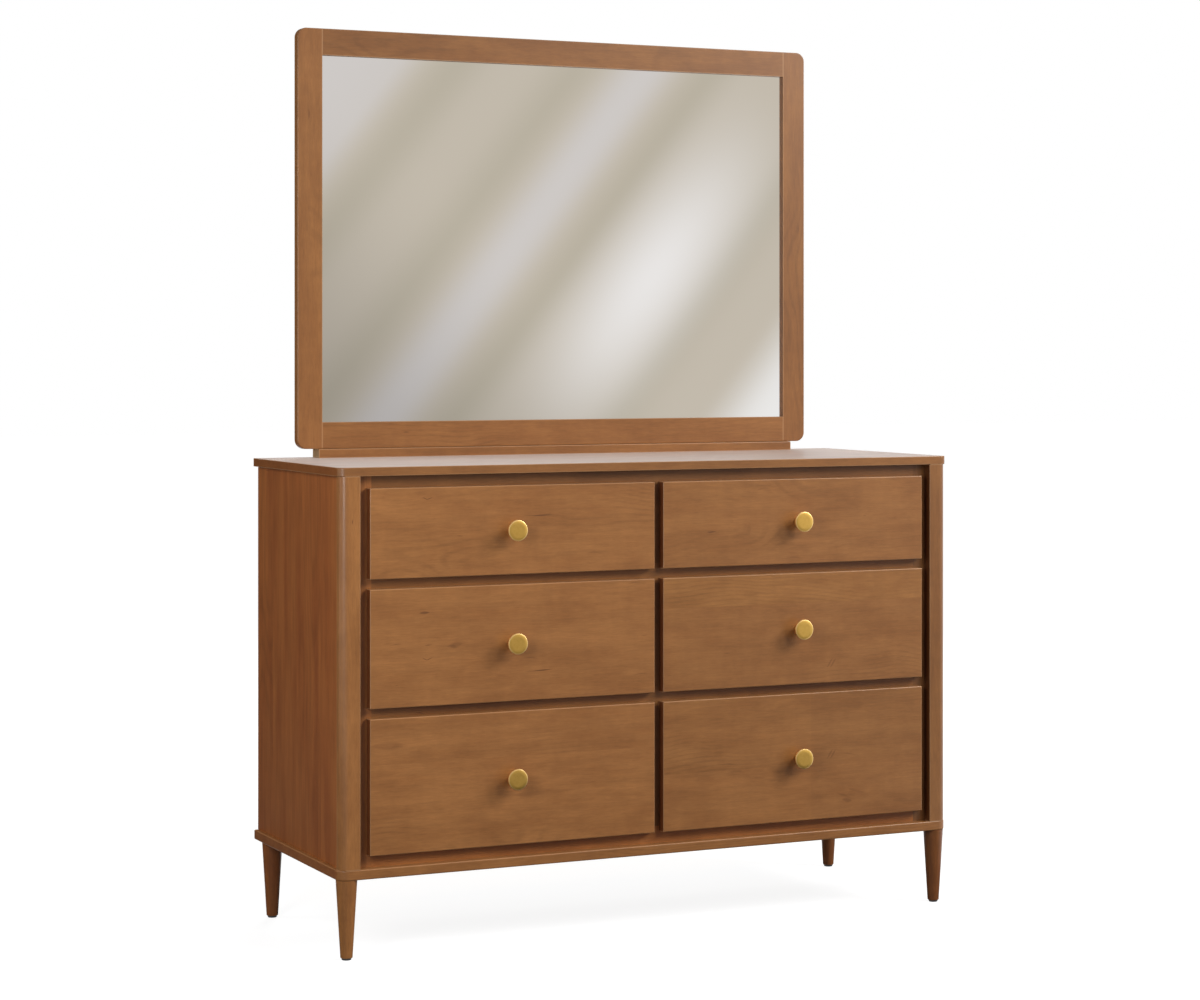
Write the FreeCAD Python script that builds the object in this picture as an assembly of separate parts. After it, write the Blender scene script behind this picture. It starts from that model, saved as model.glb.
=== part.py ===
"""Six-drawer dresser with a framed mirror standing on its top.

Frame of the model: +Z up, -Y to the front, +X to the right as seen from the
front.  The origin is on the floor, midway between the sides and midway
between the knob faces and the back edge of the top.  Millimetres throughout.
"""
import FreeCAD, Part
import math
import os

V = FreeCAD.Vector

# ------------------------------------------------------------------ case
TOP_WIDTH = 1320.8          # width of the top slab
CASE_DEPTH = 501.65         # front face of the posts to the back edge of the top
TOP_HEIGHT = 914.4          # floor to the upper face of the top slab
TOP_THICK = 16.7            # top slab
TOP_CORNER_R = 16.0         # its upright front corners, in plan
TOP_EDGE_R = 1.2            # and its eased long edges
BASE_THICK = 19.05          # base slab
BASE_CORNER_R = 20.0        # its upright front corners, in plan
BASE_EDGE_R = 2.5           # and its eased long edges
BASE_SIDE_INSET = 0.4       # side of the top slab to side of the base slab
BASE_BACK_INSET = 4.0       # back edge of the top to back edge of the base
POST_SIDE_INSET = 3.2       # side of the top slab to side of a corner post
POST_WIDTH = 39.15
POST_DEPTH = 22.5
POST_CORNER_R = 16.0        # outer upright corner of a post
POST_EDGE_R = 1.5           # inner upright corner of a post
PANEL_SIDE_INSET = 9.5      # side of the top slab to outer face of a side panel
PANEL_THICK = 15.9
BACK_THICK = 6.35           # plywood back
BACK_RABBET = 8.0           # bite of the back panel into each side panel
REAR_RAIL_THICK = 19.05
REAR_RAIL_HEIGHT = 45.0
PARTITION_THICK = 19.05

# ------------------------------------------------------------ face frame
FRAME_THICK = 19.05
FRONT_GAP = 0.4             # closed drawer front to the face frame behind it
SIDE_REVEAL = 18.5          # face frame that shows beside each outer front edge
CENTRE_REVEAL = 18.5        # face frame that shows between the two columns
RAIL_REVEAL = 18.65         # face frame that shows between two rows
TOP_REVEAL = 22.85          # underside of the top slab to the top drawer fronts
BOTTOM_REVEAL = 23.4        # base slab to the bottom drawer fronts
FRONT_OVERLAY = 9.75        # how far a front laps over the frame, on each side

# --------------------------------------------------------------- drawers
TOP_ROW_HEIGHT = 169.5      # fronts of the top row
MIDDLE_ROW_HEIGHT = 222.25  # fronts of the middle row; the bottom row has the rest
FRONT_THICK = 19.05
FRONT_EDGE_R = 2.0
BOX_BOARD = 12.7            # sides, back and inner front of a drawer box
BOX_BOTTOM_THICK = 6.35
BOX_BOTTOM_RAISE = 10.0     # lower edge of the box to the underside of its bottom
BOX_CLEAR_BELOW = 12.0      # frame opening to the box, underneath
BOX_CLEAR_ABOVE = 19.0      # frame opening to the box, above
GROOVE_DEPTH = 6.35
GROOVE_CLEAR = 0.15
TAIL_PITCH = 34.0           # spacing of the dovetails, as near as the height allows
TAIL_ROOT_SHARE = 0.52      # width of a tail at its root, as a share of the pitch
TAIL_SLOPE = 0.14
FRONT_SCREW_SIDE = 200.0    # drawer front screws, from the middle of the front
FRONT_SCREW_EDGE = 32.0     # and from the upper and lower edge of the box
FRONT_SCREW_LENGTH = 25.0

# ---------------------------------------------------------------- slides
SLIDE_THICK = 12.7          # frame to drawer box, each side
SLIDE_HEIGHT = 45.0
SLIDE_SHEET = 1.2
SLIDE_RUN_CLEAR = 0.4       # between one member's flanges and the next
SLIDE_WEB_CLEAR = 0.6       # between one member's web and the next
SLIDE_FRONT_SETBACK = 2.0
SLIDE_REAR_CLEAR = 20.0     # end of the slides to the back panel

# ----------------------------------------------------------------- knobs
KNOB_REACH = 26.0           # drawer front to knob face
KNOB_R = 20.0
KNOB_RIM = 2.6              # straight part of the rim
KNOB_CHAMFER = 1.1
KNOB_CAP_DEPTH = 6.5        # back of the cap to the rim
KNOB_BELLY_OUT = 0.66       # middle of the curve behind the cap, as a share of its width
KNOB_BELLY_UP = 0.42        # and of its depth
KNOB_NECK_R = 6.5
KNOB_NECK_FLARE = 1.5       # neck at its waist to the neck where the cap begins
KNOB_FOOT_R = 8.5
KNOB_FOOT_THICK = 2.0
KNOB_OUTWARD = 6.0          # knob to the middle of its front, towards the outside
KNOB_SCREW_R = 2.0
KNOB_SCREW_BITE = 12.0
KNOB_SCREW_HEAD_R = 4.4
KNOB_SCREW_HEAD = 2.4

# ------------------------------------------------------------------ legs
LEG_HEIGHT = 149.2          # floor to the underside of the base slab
LEG_TOP_R = 20.2
LEG_SIDE_INSET = 1.2        # side of the base slab to the side of a leg at its top
LEG_BOTTOM_R = 11.4
LEG_FOOT_R = 2.0            # rounding round the bottom of a leg
REAR_LEG_INSET = 52.6       # back edge of the top to the middle of a rear leg
GLIDE_R = 9.2
GLIDE_THICK = 3.5
GLIDE_EDGE = 1.0
GLIDE_NAIL_R = 1.5
GLIDE_NAIL_LENGTH = 14.0
BOLT_R = 4.0                # hanger bolt of a leg
BOLT_IN_LEG = 32.0
TEE_NUT_R = 5.5
TEE_NUT_LENGTH = 11.0
TEE_FLANGE_R = 9.5
TEE_FLANGE = 1.6

# ---------------------------------------------------------------- mirror
MIRROR_WIDTH = 1165.2
MIRROR_HEIGHT = 847.7
MIRROR_THICK = 19.05
MIRROR_BACK_INSET = 25.4    # back edge of the top to the back of the frame
MIRROR_STILE = 52.4
MIRROR_RAIL = 53.5
MIRROR_CORNER_R = 19.0
MIRROR_EDGE_R = 2.0
MIRROR_RABBET = 8.5
GLASS_THICK = 4.0
GLASS_CLEAR = 0.5           # glass and backing to the sides of the rabbet
BACKING_THICK = 6.35
BACKING_PLAY = 0.3          # glass to the backing behind it
PLINTH_WIDTH = 1083.0       # rail that the mirror stands on
PLINTH_HEIGHT = 18.0
PLINTH_DEPTH = 38.1
PLINTH_REVEAL = 12.7        # how far the plinth rail stands in front of the frame
BRACE_WIDTH = 63.5
BRACE_THICK = 19.05
BRACE_SIDE = 300.0          # middle of the mirror to the middle of a brace
BRACE_TOP_DROP = 14.0       # top of the mirror to the top of a brace
DOWEL_R = 4.0
DOWEL_LENGTH = 50.0
DOWEL_EDGE = 14.0           # dowels to the upper and lower edge of a mirror rail
FIXING_SPACING = 300.0      # between the long screws that hold the mirror
FIXING_END = 91.5           # end of the plinth rail to the outermost of them
MIRROR_FIXING_LENGTH = 68.0

# ----------------------------------------------------------------- screws
SCREW_R = 2.0
SCREW_HEAD_R = 4.0
SCREW_HEAD = 2.6
SCREW_TIP = 4.0
HOLE_CLEAR = 0.1            # play of a screw, bolt or dowel in its hole
TOP_SCREW_BITE = 10.0       # depth of the case screws in the top slab
BASE_SCREW_LENGTH = 50.0
BACK_SCREW_LENGTH = 18.0
BRACE_SCREW_LENGTH = 31.0
PAN_CROWN = 0.8             # flat on top of a raised head, as a share of its radius
TOP_SCREW_SHARES = (0.12, 0.45, 0.88)           # of half the face frame's width
BASE_SCREW_SHARES = (0.2, 0.5, 0.8)             # of the way from the front legs to the rear
BACK_SCREW_SHARES = (0.15, 0.38, 0.62, 0.85)    # of the height of the back
RAIL_SCREW_SHARES = (0.25, 0.75)                # of half the rear rails' length

# ------------------------------------------------------- derived planes
back_y = (CASE_DEPTH + KNOB_REACH) / 2
front_y = back_y - CASE_DEPTH
half_top = TOP_WIDTH / 2
half_base = half_top - BASE_SIDE_INSET
post_out = half_top - POST_SIDE_INSET
post_in = post_out - POST_WIDTH
post_back = front_y + POST_DEPTH
panel_out = half_top - PANEL_SIDE_INSET
panel_in = panel_out - PANEL_THICK
slab_z = TOP_HEIGHT - TOP_THICK
base_z = LEG_HEIGHT + BASE_THICK
frame_y = front_y + FRONT_THICK + FRONT_GAP
frame_back = frame_y + FRAME_THICK
panel_back_y = back_y - BASE_BACK_INSET
back_face = panel_back_y - BACK_THICK
rear_rail_y = back_face - REAR_RAIL_THICK
front_half_in = CENTRE_REVEAL / 2
front_half_out = post_in - SIDE_REVEAL
open_in = front_half_in + FRONT_OVERLAY
open_out = front_half_out - FRONT_OVERLAY
slide_y0 = frame_y + SLIDE_FRONT_SETBACK
slide_y1 = back_face - SLIDE_REAR_CLEAR
box_y0 = front_y + FRONT_THICK
box_y1 = slide_y1
mirror_back = back_y - MIRROR_BACK_INSET
mirror_front = mirror_back - MIRROR_THICK
glass_y = mirror_back - BACKING_THICK - BACKING_PLAY - GLASS_THICK
mirror_z0 = TOP_HEIGHT + PLINTH_HEIGHT
mirror_z1 = mirror_z0 + MIRROR_HEIGHT
plinth_y0 = mirror_front - PLINTH_REVEAL
plinth_y1 = plinth_y0 + PLINTH_DEPTH
brace_y1 = mirror_back + BRACE_THICK
half_mirror = MIRROR_WIDTH / 2
leg_x = half_base - LEG_SIDE_INSET - LEG_TOP_R
front_leg_y = front_y + LEG_TOP_R
rear_leg_y = back_y - REAR_LEG_INSET


# --------------------------------------------------------------- helpers
def block(x0, x1, y0, y1, z0, z1):
    """A rectangular board between the given planes."""
    return Part.makeBox(x1 - x0, y1 - y0, z1 - z0, V(x0, y0, z0))


def side_block(side, x0, x1, y0, y1, z0, z1):
    """A board on the right (side = 1), or the same one mirrored to the left (-1)."""
    if side > 0:
        return block(x0, x1, y0, y1, z0, z1)
    return block(-x1, -x0, y0, y1, z0, z1)


def at(value, wanted):
    """True when a coordinate lies on the wanted plane."""
    return abs(value - wanted) < 1e-6


def edges_where(shape, test):
    """The edges whose every corner passes the test."""
    return [e for e in shape.Edges if all(test(v.Point) for v in e.Vertexes)]


def turned(points, arcs=()):
    """Solid turned about Z from (radius, height) points; arcs maps a point's index to a point
    on the arc that leads from it to the next one."""
    middle = dict(arcs)
    pts = [V(r, 0, z) for r, z in points]
    lines = []
    for i in range(len(pts)):
        start = pts[i]
        end = pts[(i + 1) % len(pts)]
        if i in middle:
            r, z = middle[i]
            lines.append(Part.Arc(start, V(r, 0, z), end).toShape())
        else:
            lines.append(Part.LineSegment(start, end).toShape())
    face = Part.Face(Part.Wire(lines))
    return face.revolve(V(0, 0, 0), V(0, 0, 1), 360)


def aimed(shape, point, direction):
    """A copy whose +Z points along the direction, from the point."""
    copy = shape.copy()
    copy.Placement = FreeCAD.Placement(V(*point), FreeCAD.Rotation(V(0, 0, 1), V(*direction)))
    return copy


def flat_screw(length, play=0.0):
    """Countersunk screw from its head's face, at z = 0, to its tip; play grows it into its hole."""
    shank = SCREW_R + play
    head = SCREW_HEAD_R + play
    end = length + play
    return turned([(0, 0), (head, 0), (shank, SCREW_HEAD), (shank, end - SCREW_TIP),
                   (shank / 4, end), (0, end)])


def pan_screw(length, shank, head, head_height):
    """Screw with a raised head: the head lies below z = 0, the shank above it."""
    crown = head * PAN_CROWN
    return turned([(0, -head_height), (crown, -head_height), (head, -head_height / 2),
                   (head, 0), (shank, 0), (shank, length), (0, length)])


def rod(radius, length):
    """Plain round bar from z = 0 upwards."""
    return Part.makeCylinder(radius, length)


def drilled(shape, holes):
    """The shape with every hole cut out of it."""
    for hole in holes:
        shape = shape.cut(hole)
    return shape


def write(name, solids):
    """One STEP file per node; a node may hold several separate solids."""
    shape = solids[0] if len(solids) == 1 else Part.makeCompound(solids)
    shape.exportStep("parts/" + name + ".step")
    volume = sum(s.Volume for s in solids)
    print(name, len(solids), "solid(s)", round(volume / 1000.0, 1), "cm3")


# ------------------------------------------------------------ the drawers' rows
def row_limits():
    """Name, lower and upper edge of the drawer fronts in each row, from the top down."""
    spare = slab_z - base_z - TOP_REVEAL - BOTTOM_REVEAL - 2 * RAIL_REVEAL
    heights = (TOP_ROW_HEIGHT, MIDDLE_ROW_HEIGHT, spare - TOP_ROW_HEIGHT - MIDDLE_ROW_HEIGHT)
    rows = []
    upper = slab_z - TOP_REVEAL
    for name, height in zip(("top", "middle", "bottom"), heights):
        rows.append((name, upper - height, upper))
        upper = upper - height - RAIL_REVEAL
    return rows


def box_limits(lower, upper):
    """Lower and upper edge of the drawer box behind a front."""
    return lower + FRONT_OVERLAY + BOX_CLEAR_BELOW, upper - FRONT_OVERLAY - BOX_CLEAR_ABOVE


ROWS = row_limits()
SIDES = (("left", -1), ("right", 1))


# ---------------------------------------------------------------- fasteners
def leg_points():
    """The middle of each leg, with its name."""
    return [("front_left", -leg_x, front_leg_y), ("front_right", leg_x, front_leg_y),
            ("rear_left", -leg_x, rear_leg_y), ("rear_right", leg_x, rear_leg_y)]


def top_screw_places():
    """Screws that go up through the face frame's top rail and the rear top rail."""
    lower = ROWS[0][2] - FRONT_OVERLAY
    front = (frame_y + frame_back) / 2
    rear = (rear_rail_y + back_face) / 2
    places = []
    for share in TOP_SCREW_SHARES:
        for side in (-1, 1):
            places.append((side * share * open_out, front, lower, slab_z + TOP_SCREW_BITE))
            places.append((side * share * open_out, rear, slab_z - REAR_RAIL_HEIGHT,
                           slab_z + TOP_SCREW_BITE))
    return places


def base_screw_places():
    """Screws that go up through the base slab into the side panels and the partition."""
    span = rear_leg_y - front_leg_y
    ys = [front_leg_y + span * share for share in BASE_SCREW_SHARES]
    xs = [-(panel_in + panel_out) / 2, 0.0, (panel_in + panel_out) / 2]
    return [(x, y) for x in xs for y in ys]


def back_screw_places():
    """Screws through the back panel into the rear posts and the rear rails."""
    post_x = (open_out + panel_in) / 2
    height = slab_z - base_z
    rail = REAR_RAIL_HEIGHT / 2
    places = []
    for side in (-1, 1):
        for share in BACK_SCREW_SHARES:
            places.append((side * post_x, base_z + height * share))
        for share in RAIL_SCREW_SHARES:
            places.append((side * share * open_out, base_z + rail))
            places.append((side * share * open_out, slab_z - rail))
    return places


def mirror_fixing_places():
    """Long screws from under the top slab, through the plinth rail, into the mirror frame."""
    y = (plinth_y0 + plinth_y1) / 2
    outer = PLINTH_WIDTH / 2 - FIXING_END
    return [(side * x, y) for x in (outer - FIXING_SPACING, outer) for side in (-1, 1)]


def brace_screw_places():
    """Screws through the braces into the rails of the mirror frame."""
    solid = MIRROR_RAIL - MIRROR_RABBET
    low = mirror_z0 + solid / 2
    high = mirror_z1 - solid / 2
    quarter = BRACE_WIDTH / 4
    return [(side * BRACE_SIDE + shift, z)
            for side in (-1, 1) for shift in (-quarter, quarter) for z in (low, high)]


def top_screws(play=0.0):
    return [aimed(flat_screw(end - start, play), (x, y, start), (0, 0, 1))
            for x, y, start, end in top_screw_places()]


def base_screws(play=0.0):
    return [aimed(flat_screw(BASE_SCREW_LENGTH, play), (x, y, LEG_HEIGHT), (0, 0, 1))
            for x, y in base_screw_places()]


def back_screws(play=0.0):
    return [aimed(flat_screw(BACK_SCREW_LENGTH, play), (x, panel_back_y, z), (0, -1, 0))
            for x, z in back_screw_places()]


def mirror_fixings(play=0.0):
    return [aimed(flat_screw(MIRROR_FIXING_LENGTH, play), (x, y, slab_z), (0, 0, 1))
            for x, y in mirror_fixing_places()]


def brace_screws(play=0.0):
    return [aimed(flat_screw(BRACE_SCREW_LENGTH, play), (x, brace_y1, z), (0, -1, 0))
            for x, z in brace_screw_places()]


# -------------------------------------------------------------------- slabs
def slab(half_width, y0, y1, z0, z1, corner_r, edge_r):
    """A slab with rounded front corners in plan and eased edges above and below."""
    shape = block(-half_width, half_width, y0, y1, z0, z1)
    corners = [e for e in edges_where(shape, lambda p: at(p.y, y0))
               if not at(e.Vertexes[0].Z, e.Vertexes[1].Z)]
    shape = shape.makeFillet(corner_r, corners)
    long_edges = []
    for z in (z0, z1):
        level = edges_where(shape, lambda p, z=z: at(p.z, z))
        long_edges += [e for e in level if not all(at(v.Y, y1) for v in e.Vertexes)]
    return shape.makeFillet(edge_r, long_edges)


def top_slab():
    shape = slab(half_top, front_y, back_y, slab_z, TOP_HEIGHT, TOP_CORNER_R, TOP_EDGE_R)
    return drilled(shape, top_screws(HOLE_CLEAR) + mirror_fixings(HOLE_CLEAR))


def base_slab():
    shape = slab(half_base, front_y, panel_back_y, LEG_HEIGHT, base_z, BASE_CORNER_R, BASE_EDGE_R)
    holes = base_screws(HOLE_CLEAR)
    for _, x, y in leg_points():
        barrel = rod(TEE_NUT_R + HOLE_CLEAR, BASE_THICK)
        flange = rod(TEE_FLANGE_R + HOLE_CLEAR, TEE_FLANGE)
        holes.append(aimed(barrel, (x, y, LEG_HEIGHT), (0, 0, 1)))
        holes.append(aimed(flange, (x, y, base_z - TEE_FLANGE), (0, 0, 1)))
    return drilled(shape, holes)


# --------------------------------------------------------------------- case
def front_post(side):
    """Corner post, flush with the drawer fronts, rounded on its outer corner."""
    shape = side_block(side, post_in, post_out, front_y, post_back, base_z, slab_z)
    for x, radius in ((post_out, POST_CORNER_R), (post_in, POST_EDGE_R)):
        corner = edges_where(shape, lambda p, x=x: at(p.y, front_y) and at(abs(p.x), x))
        shape = shape.makeFillet(radius, corner)
    return shape


def side_panel(side):
    """Side panel behind the post, rabbeted for the back."""
    shape = side_block(side, panel_in, panel_out, post_back, back_y, base_z, slab_z)
    rabbet = side_block(side, panel_in, panel_in + BACK_RABBET, back_face, back_y, base_z, slab_z)
    return drilled(shape.cut(rabbet), base_screws(HOLE_CLEAR))


def back_panel():
    half = panel_in + BACK_RABBET
    shape = block(-half, half, back_face, panel_back_y, base_z, slab_z)
    return drilled(shape, back_screws(HOLE_CLEAR))


def rear_frame():
    """Posts inside the rear corners, which carry the slide blocks, and two rails between them."""
    boards = [side_block(side, open_out, panel_in, rear_rail_y, back_face, base_z, slab_z)
              for _, side in SIDES]
    boards += [block(-open_out, open_out, rear_rail_y, back_face, z0, z0 + REAR_RAIL_HEIGHT)
               for z0 in (base_z, slab_z - REAR_RAIL_HEIGHT)]
    return [drilled(board, back_screws(HOLE_CLEAR) + top_screws(HOLE_CLEAR)) for board in boards]


def centre_partition():
    half = PARTITION_THICK / 2
    shape = block(-half, half, frame_back, rear_rail_y, base_z, slab_z)
    return drilled(shape, base_screws(HOLE_CLEAR))


def frame_rails():
    """Face frame rails, each running from stile to stile."""
    edges = [slab_z]
    for _, lower, upper in ROWS:
        edges += [upper - FRONT_OVERLAY, lower + FRONT_OVERLAY]
    edges.append(base_z)
    rails = [block(-open_out, open_out, frame_y, frame_back, edges[i + 1], edges[i])
             for i in range(0, len(edges), 2)]
    return [drilled(rails[0], top_screws(HOLE_CLEAR))] + rails[1:]


def frame_stiles():
    """Outer stiles beside the posts, and a short centre stile in each row."""
    stiles = [side_block(side, open_out, post_in, frame_y, frame_back, base_z, slab_z)
              for _, side in SIDES]
    for _, lower, upper in ROWS:
        stiles.append(block(-open_in, open_in, frame_y, frame_back,
                            lower + FRONT_OVERLAY, upper - FRONT_OVERLAY))
    return stiles


def slide_blocks():
    """Wooden blocks that bring each pair of slides out to the edges of the face frame."""
    blocks = []
    for _, lower, upper in ROWS:
        z = sum(box_limits(lower, upper)) / 2
        z0 = z - SLIDE_HEIGHT / 2
        z1 = z + SLIDE_HEIGHT / 2
        for _, side in SIDES:
            blocks.append(side_block(side, open_out, panel_in, frame_back, rear_rail_y, z0, z1))
            blocks.append(side_block(side, PARTITION_THICK / 2, open_in,
                                     frame_back, rear_rail_y, z0, z1))
    return blocks


# ------------------------------------------------------------------- slides
def channel(side, web_x, mouth_x, half_height, z):
    """Folded steel channel along Y: its web's face at web_x, its two flanges out to mouth_x."""
    inside_x = web_x + math.copysign(SLIDE_SHEET, mouth_x - web_x)
    outer = sorted((web_x, mouth_x))
    inner = sorted((inside_x, mouth_x))
    reach = half_height - SLIDE_SHEET
    shape = side_block(side, *outer, slide_y0, slide_y1, z - half_height, z + half_height)
    return shape.cut(side_block(side, *inner, slide_y0, slide_y1, z - reach, z + reach))


def slide_members(side, row):
    """Cabinet, middle and drawer members of the two slides of one drawer, each in the last."""
    _, lower, upper = row
    z = sum(box_limits(lower, upper)) / 2
    half = SLIDE_HEIGHT / 2
    shrink = SLIDE_SHEET + SLIDE_RUN_CLEAR
    step = SLIDE_SHEET + SLIDE_WEB_CLEAR
    cabinet, middle, drawer = [], [], []
    for wall, inward in ((open_in, 1), (open_out, -1)):
        near = [wall + inward * nest * step for nest in range(3)]
        far = [wall + inward * (SLIDE_THICK - (2 - nest) * step) for nest in range(3)]
        cabinet.append(channel(side, near[0], far[0], half, z))
        middle.append(channel(side, near[1], far[1], half - shrink, z))
        drawer.append(channel(side, far[2], near[2], half - 2 * shrink, z))
    return cabinet, middle, drawer


# ------------------------------------------------------------------ drawers
def tails(x0, x1, root_y, end_y, z0, z1):
    """Dovetails on the end of a side board, from its shoulder out to its end."""
    count = max(2, round((z1 - z0) / TAIL_PITCH))
    pitch = (z1 - z0) / count
    root = pitch * TAIL_ROOT_SHARE / 2
    tip = root + abs(end_y - root_y) * TAIL_SLOPE
    shapes = []
    for i in range(count):
        middle = z0 + (i + 0.5) * pitch
        outline = [V(x0, root_y, middle - root), V(x0, end_y, middle - tip),
                   V(x0, end_y, middle + tip), V(x0, root_y, middle + root)]
        face = Part.Face(Part.makePolygon(outline + outline[:1]))
        shapes.append(face.extrude(V(x1 - x0, 0, 0)))
    return shapes


def box_planes(lower, upper):
    """Outer side planes and lower and upper planes of a drawer box on the right-hand side."""
    x0 = open_in + SLIDE_THICK
    x1 = open_out - SLIDE_THICK
    z0, z1 = box_limits(lower, upper)
    return x0, x1, z0, z1


def front_screw_places(side, lower, upper):
    """The four screws that hold a front to its box."""
    z0, z1 = box_limits(lower, upper)
    middle = side * (front_half_in + front_half_out) / 2
    return [(middle + shift, z)
            for shift in (-FRONT_SCREW_SIDE, FRONT_SCREW_SIDE)
            for z in (z0 + FRONT_SCREW_EDGE, z1 - FRONT_SCREW_EDGE)]


def knob_place(side, lower, upper):
    middle = (front_half_in + front_half_out) / 2
    return side * (middle + KNOB_OUTWARD), (lower + upper) / 2


def drawer_holes(side, lower, upper):
    """Holes for the knob's screw and the front's screws, through front and box."""
    start = box_y0 + BOX_BOARD
    x, z = knob_place(side, lower, upper)
    holes = [aimed(rod(KNOB_SCREW_R + HOLE_CLEAR, BOX_BOARD + FRONT_THICK),
                   (x, start, z), (0, -1, 0))]
    for x, z in front_screw_places(side, lower, upper):
        holes.append(aimed(rod(SCREW_R + HOLE_CLEAR, FRONT_SCREW_LENGTH + HOLE_CLEAR),
                           (x, start, z), (0, -1, 0)))
    return holes


def drawer_front(side, row):
    """Solid front with eased edges, lapping over the face frame."""
    _, lower, upper = row
    shape = side_block(side, front_half_in, front_half_out, front_y, box_y0, lower, upper)
    shape = shape.makeFillet(FRONT_EDGE_R, edges_where(shape, lambda p: at(p.y, front_y)))
    return drilled(shape, drawer_holes(side, lower, upper))


def drawer_box(side, row):
    """Dovetailed box: two sides, inner front and back, with a plywood bottom in a groove."""
    _, lower, upper = row
    x0, x1, z0, z1 = box_planes(lower, upper)
    if side < 0:
        x0, x1 = -x1, -x0
    board = BOX_BOARD
    shoulder0 = box_y0 + board
    shoulder1 = box_y1 - board
    sides = []
    joints = []
    for a, b in ((x0, x0 + board), (x1 - board, x1)):
        ends = tails(a, b, shoulder0, box_y0, z0, z1) + tails(a, b, shoulder1, box_y1, z0, z1)
        sides.append(block(a, b, shoulder0, shoulder1, z0, z1).multiFuse(ends).removeSplitter())
        joints += ends
    inner_front = block(x0, x1, box_y0, shoulder0, z0, z1)
    back = block(x0, x1, shoulder1, box_y1, z0, z1)
    screws = drawer_holes(side, lower, upper)
    boards = sides + [drilled(inner_front, joints + screws), drilled(back, joints)]
    bite = GROOVE_DEPTH
    low = z0 + BOX_BOTTOM_RAISE
    groove = block(x0 + board - bite, x1 - board + bite, shoulder0 - bite, shoulder1 + bite,
                   low, low + BOX_BOTTOM_THICK + 2 * GROOVE_CLEAR)
    bite = GROOVE_DEPTH - GROOVE_CLEAR
    low = low + GROOVE_CLEAR
    bottom = block(x0 + board - bite, x1 - board + bite, shoulder0 - bite, shoulder1 + bite,
                   low, low + BOX_BOTTOM_THICK)
    return [board.cut(groove) for board in boards] + [bottom]


def knob(side, row):
    """Turned brass knob with a flat face, and the screw that holds it from inside."""
    _, lower, upper = row
    rim = KNOB_REACH - KNOB_CHAMFER - KNOB_RIM
    cap = rim - KNOB_CAP_DEPTH
    bore = KNOB_SCREW_R + HOLE_CLEAR
    depth = KNOB_SCREW_BITE + 2 * HOLE_CLEAR
    neck_mid = (KNOB_FOOT_THICK + cap) / 2
    points = [(bore, 0), (KNOB_FOOT_R, 0), (KNOB_FOOT_R, KNOB_FOOT_THICK),
              (KNOB_NECK_R + KNOB_NECK_FLARE, cap), (KNOB_R, rim), (KNOB_R, rim + KNOB_RIM),
              (KNOB_R - KNOB_CHAMFER, KNOB_REACH), (0, KNOB_REACH), (0, depth), (bore, depth)]
    belly_mid = (KNOB_NECK_R + KNOB_BELLY_OUT * (KNOB_R - KNOB_NECK_R),
                 cap + KNOB_BELLY_UP * KNOB_CAP_DEPTH)
    body = turned(points, [(2, (KNOB_NECK_R, neck_mid)), (3, belly_mid)])
    x, z = knob_place(side, lower, upper)
    length = BOX_BOARD + FRONT_THICK + KNOB_SCREW_BITE
    screw = pan_screw(length, KNOB_SCREW_R, KNOB_SCREW_HEAD_R, KNOB_SCREW_HEAD)
    return [aimed(body, (x, front_y, z), (0, -1, 0)),
            aimed(screw, (x, box_y0 + BOX_BOARD, z), (0, -1, 0))]


def front_screws(side, row):
    _, lower, upper = row
    screw = pan_screw(FRONT_SCREW_LENGTH, SCREW_R, SCREW_HEAD_R, SCREW_HEAD)
    return [aimed(screw, (x, box_y0 + BOX_BOARD, z), (0, -1, 0))
            for x, z in front_screw_places(side, lower, upper)]


# --------------------------------------------------------------------- legs
def leg(x, y):
    """Turned, tapered leg, drilled for its hanger bolt above and its glide below."""
    shape = turned([(0, GLIDE_THICK), (LEG_BOTTOM_R, GLIDE_THICK), (LEG_TOP_R, LEG_HEIGHT),
                    (0, LEG_HEIGHT)])
    foot = edges_where(shape, lambda p: at(p.z, GLIDE_THICK) and at(p.x, LEG_BOTTOM_R))
    shape = shape.makeFillet(LEG_FOOT_R, foot)
    bolt = aimed(rod(BOLT_R + HOLE_CLEAR, BOLT_IN_LEG + HOLE_CLEAR),
                 (0, 0, LEG_HEIGHT - BOLT_IN_LEG - HOLE_CLEAR), (0, 0, 1))
    nail = aimed(rod(GLIDE_NAIL_R + HOLE_CLEAR, GLIDE_NAIL_LENGTH + HOLE_CLEAR),
                 (0, 0, GLIDE_THICK), (0, 0, 1))
    return aimed(shape.cut(bolt).cut(nail), (x, y, 0), (0, 0, 1))


def leg_bolts():
    """Hanger bolt of each leg, and the tee nut in the base slab that it screws into."""
    solids = []
    length = BOLT_IN_LEG + BASE_THICK
    nut_z = base_z - TEE_NUT_LENGTH
    for _, x, y in leg_points():
        solids.append(aimed(rod(BOLT_R, length - TEE_FLANGE),
                            (x, y, LEG_HEIGHT - BOLT_IN_LEG), (0, 0, 1)))
        bore = BOLT_R + HOLE_CLEAR
        nut = turned([(bore, 0), (TEE_NUT_R, 0), (TEE_NUT_R, TEE_NUT_LENGTH - TEE_FLANGE),
                      (TEE_FLANGE_R, TEE_NUT_LENGTH - TEE_FLANGE), (TEE_FLANGE_R, TEE_NUT_LENGTH),
                      (bore, TEE_NUT_LENGTH)])
        solids.append(aimed(nut, (x, y, nut_z), (0, 0, 1)))
    return solids


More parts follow.
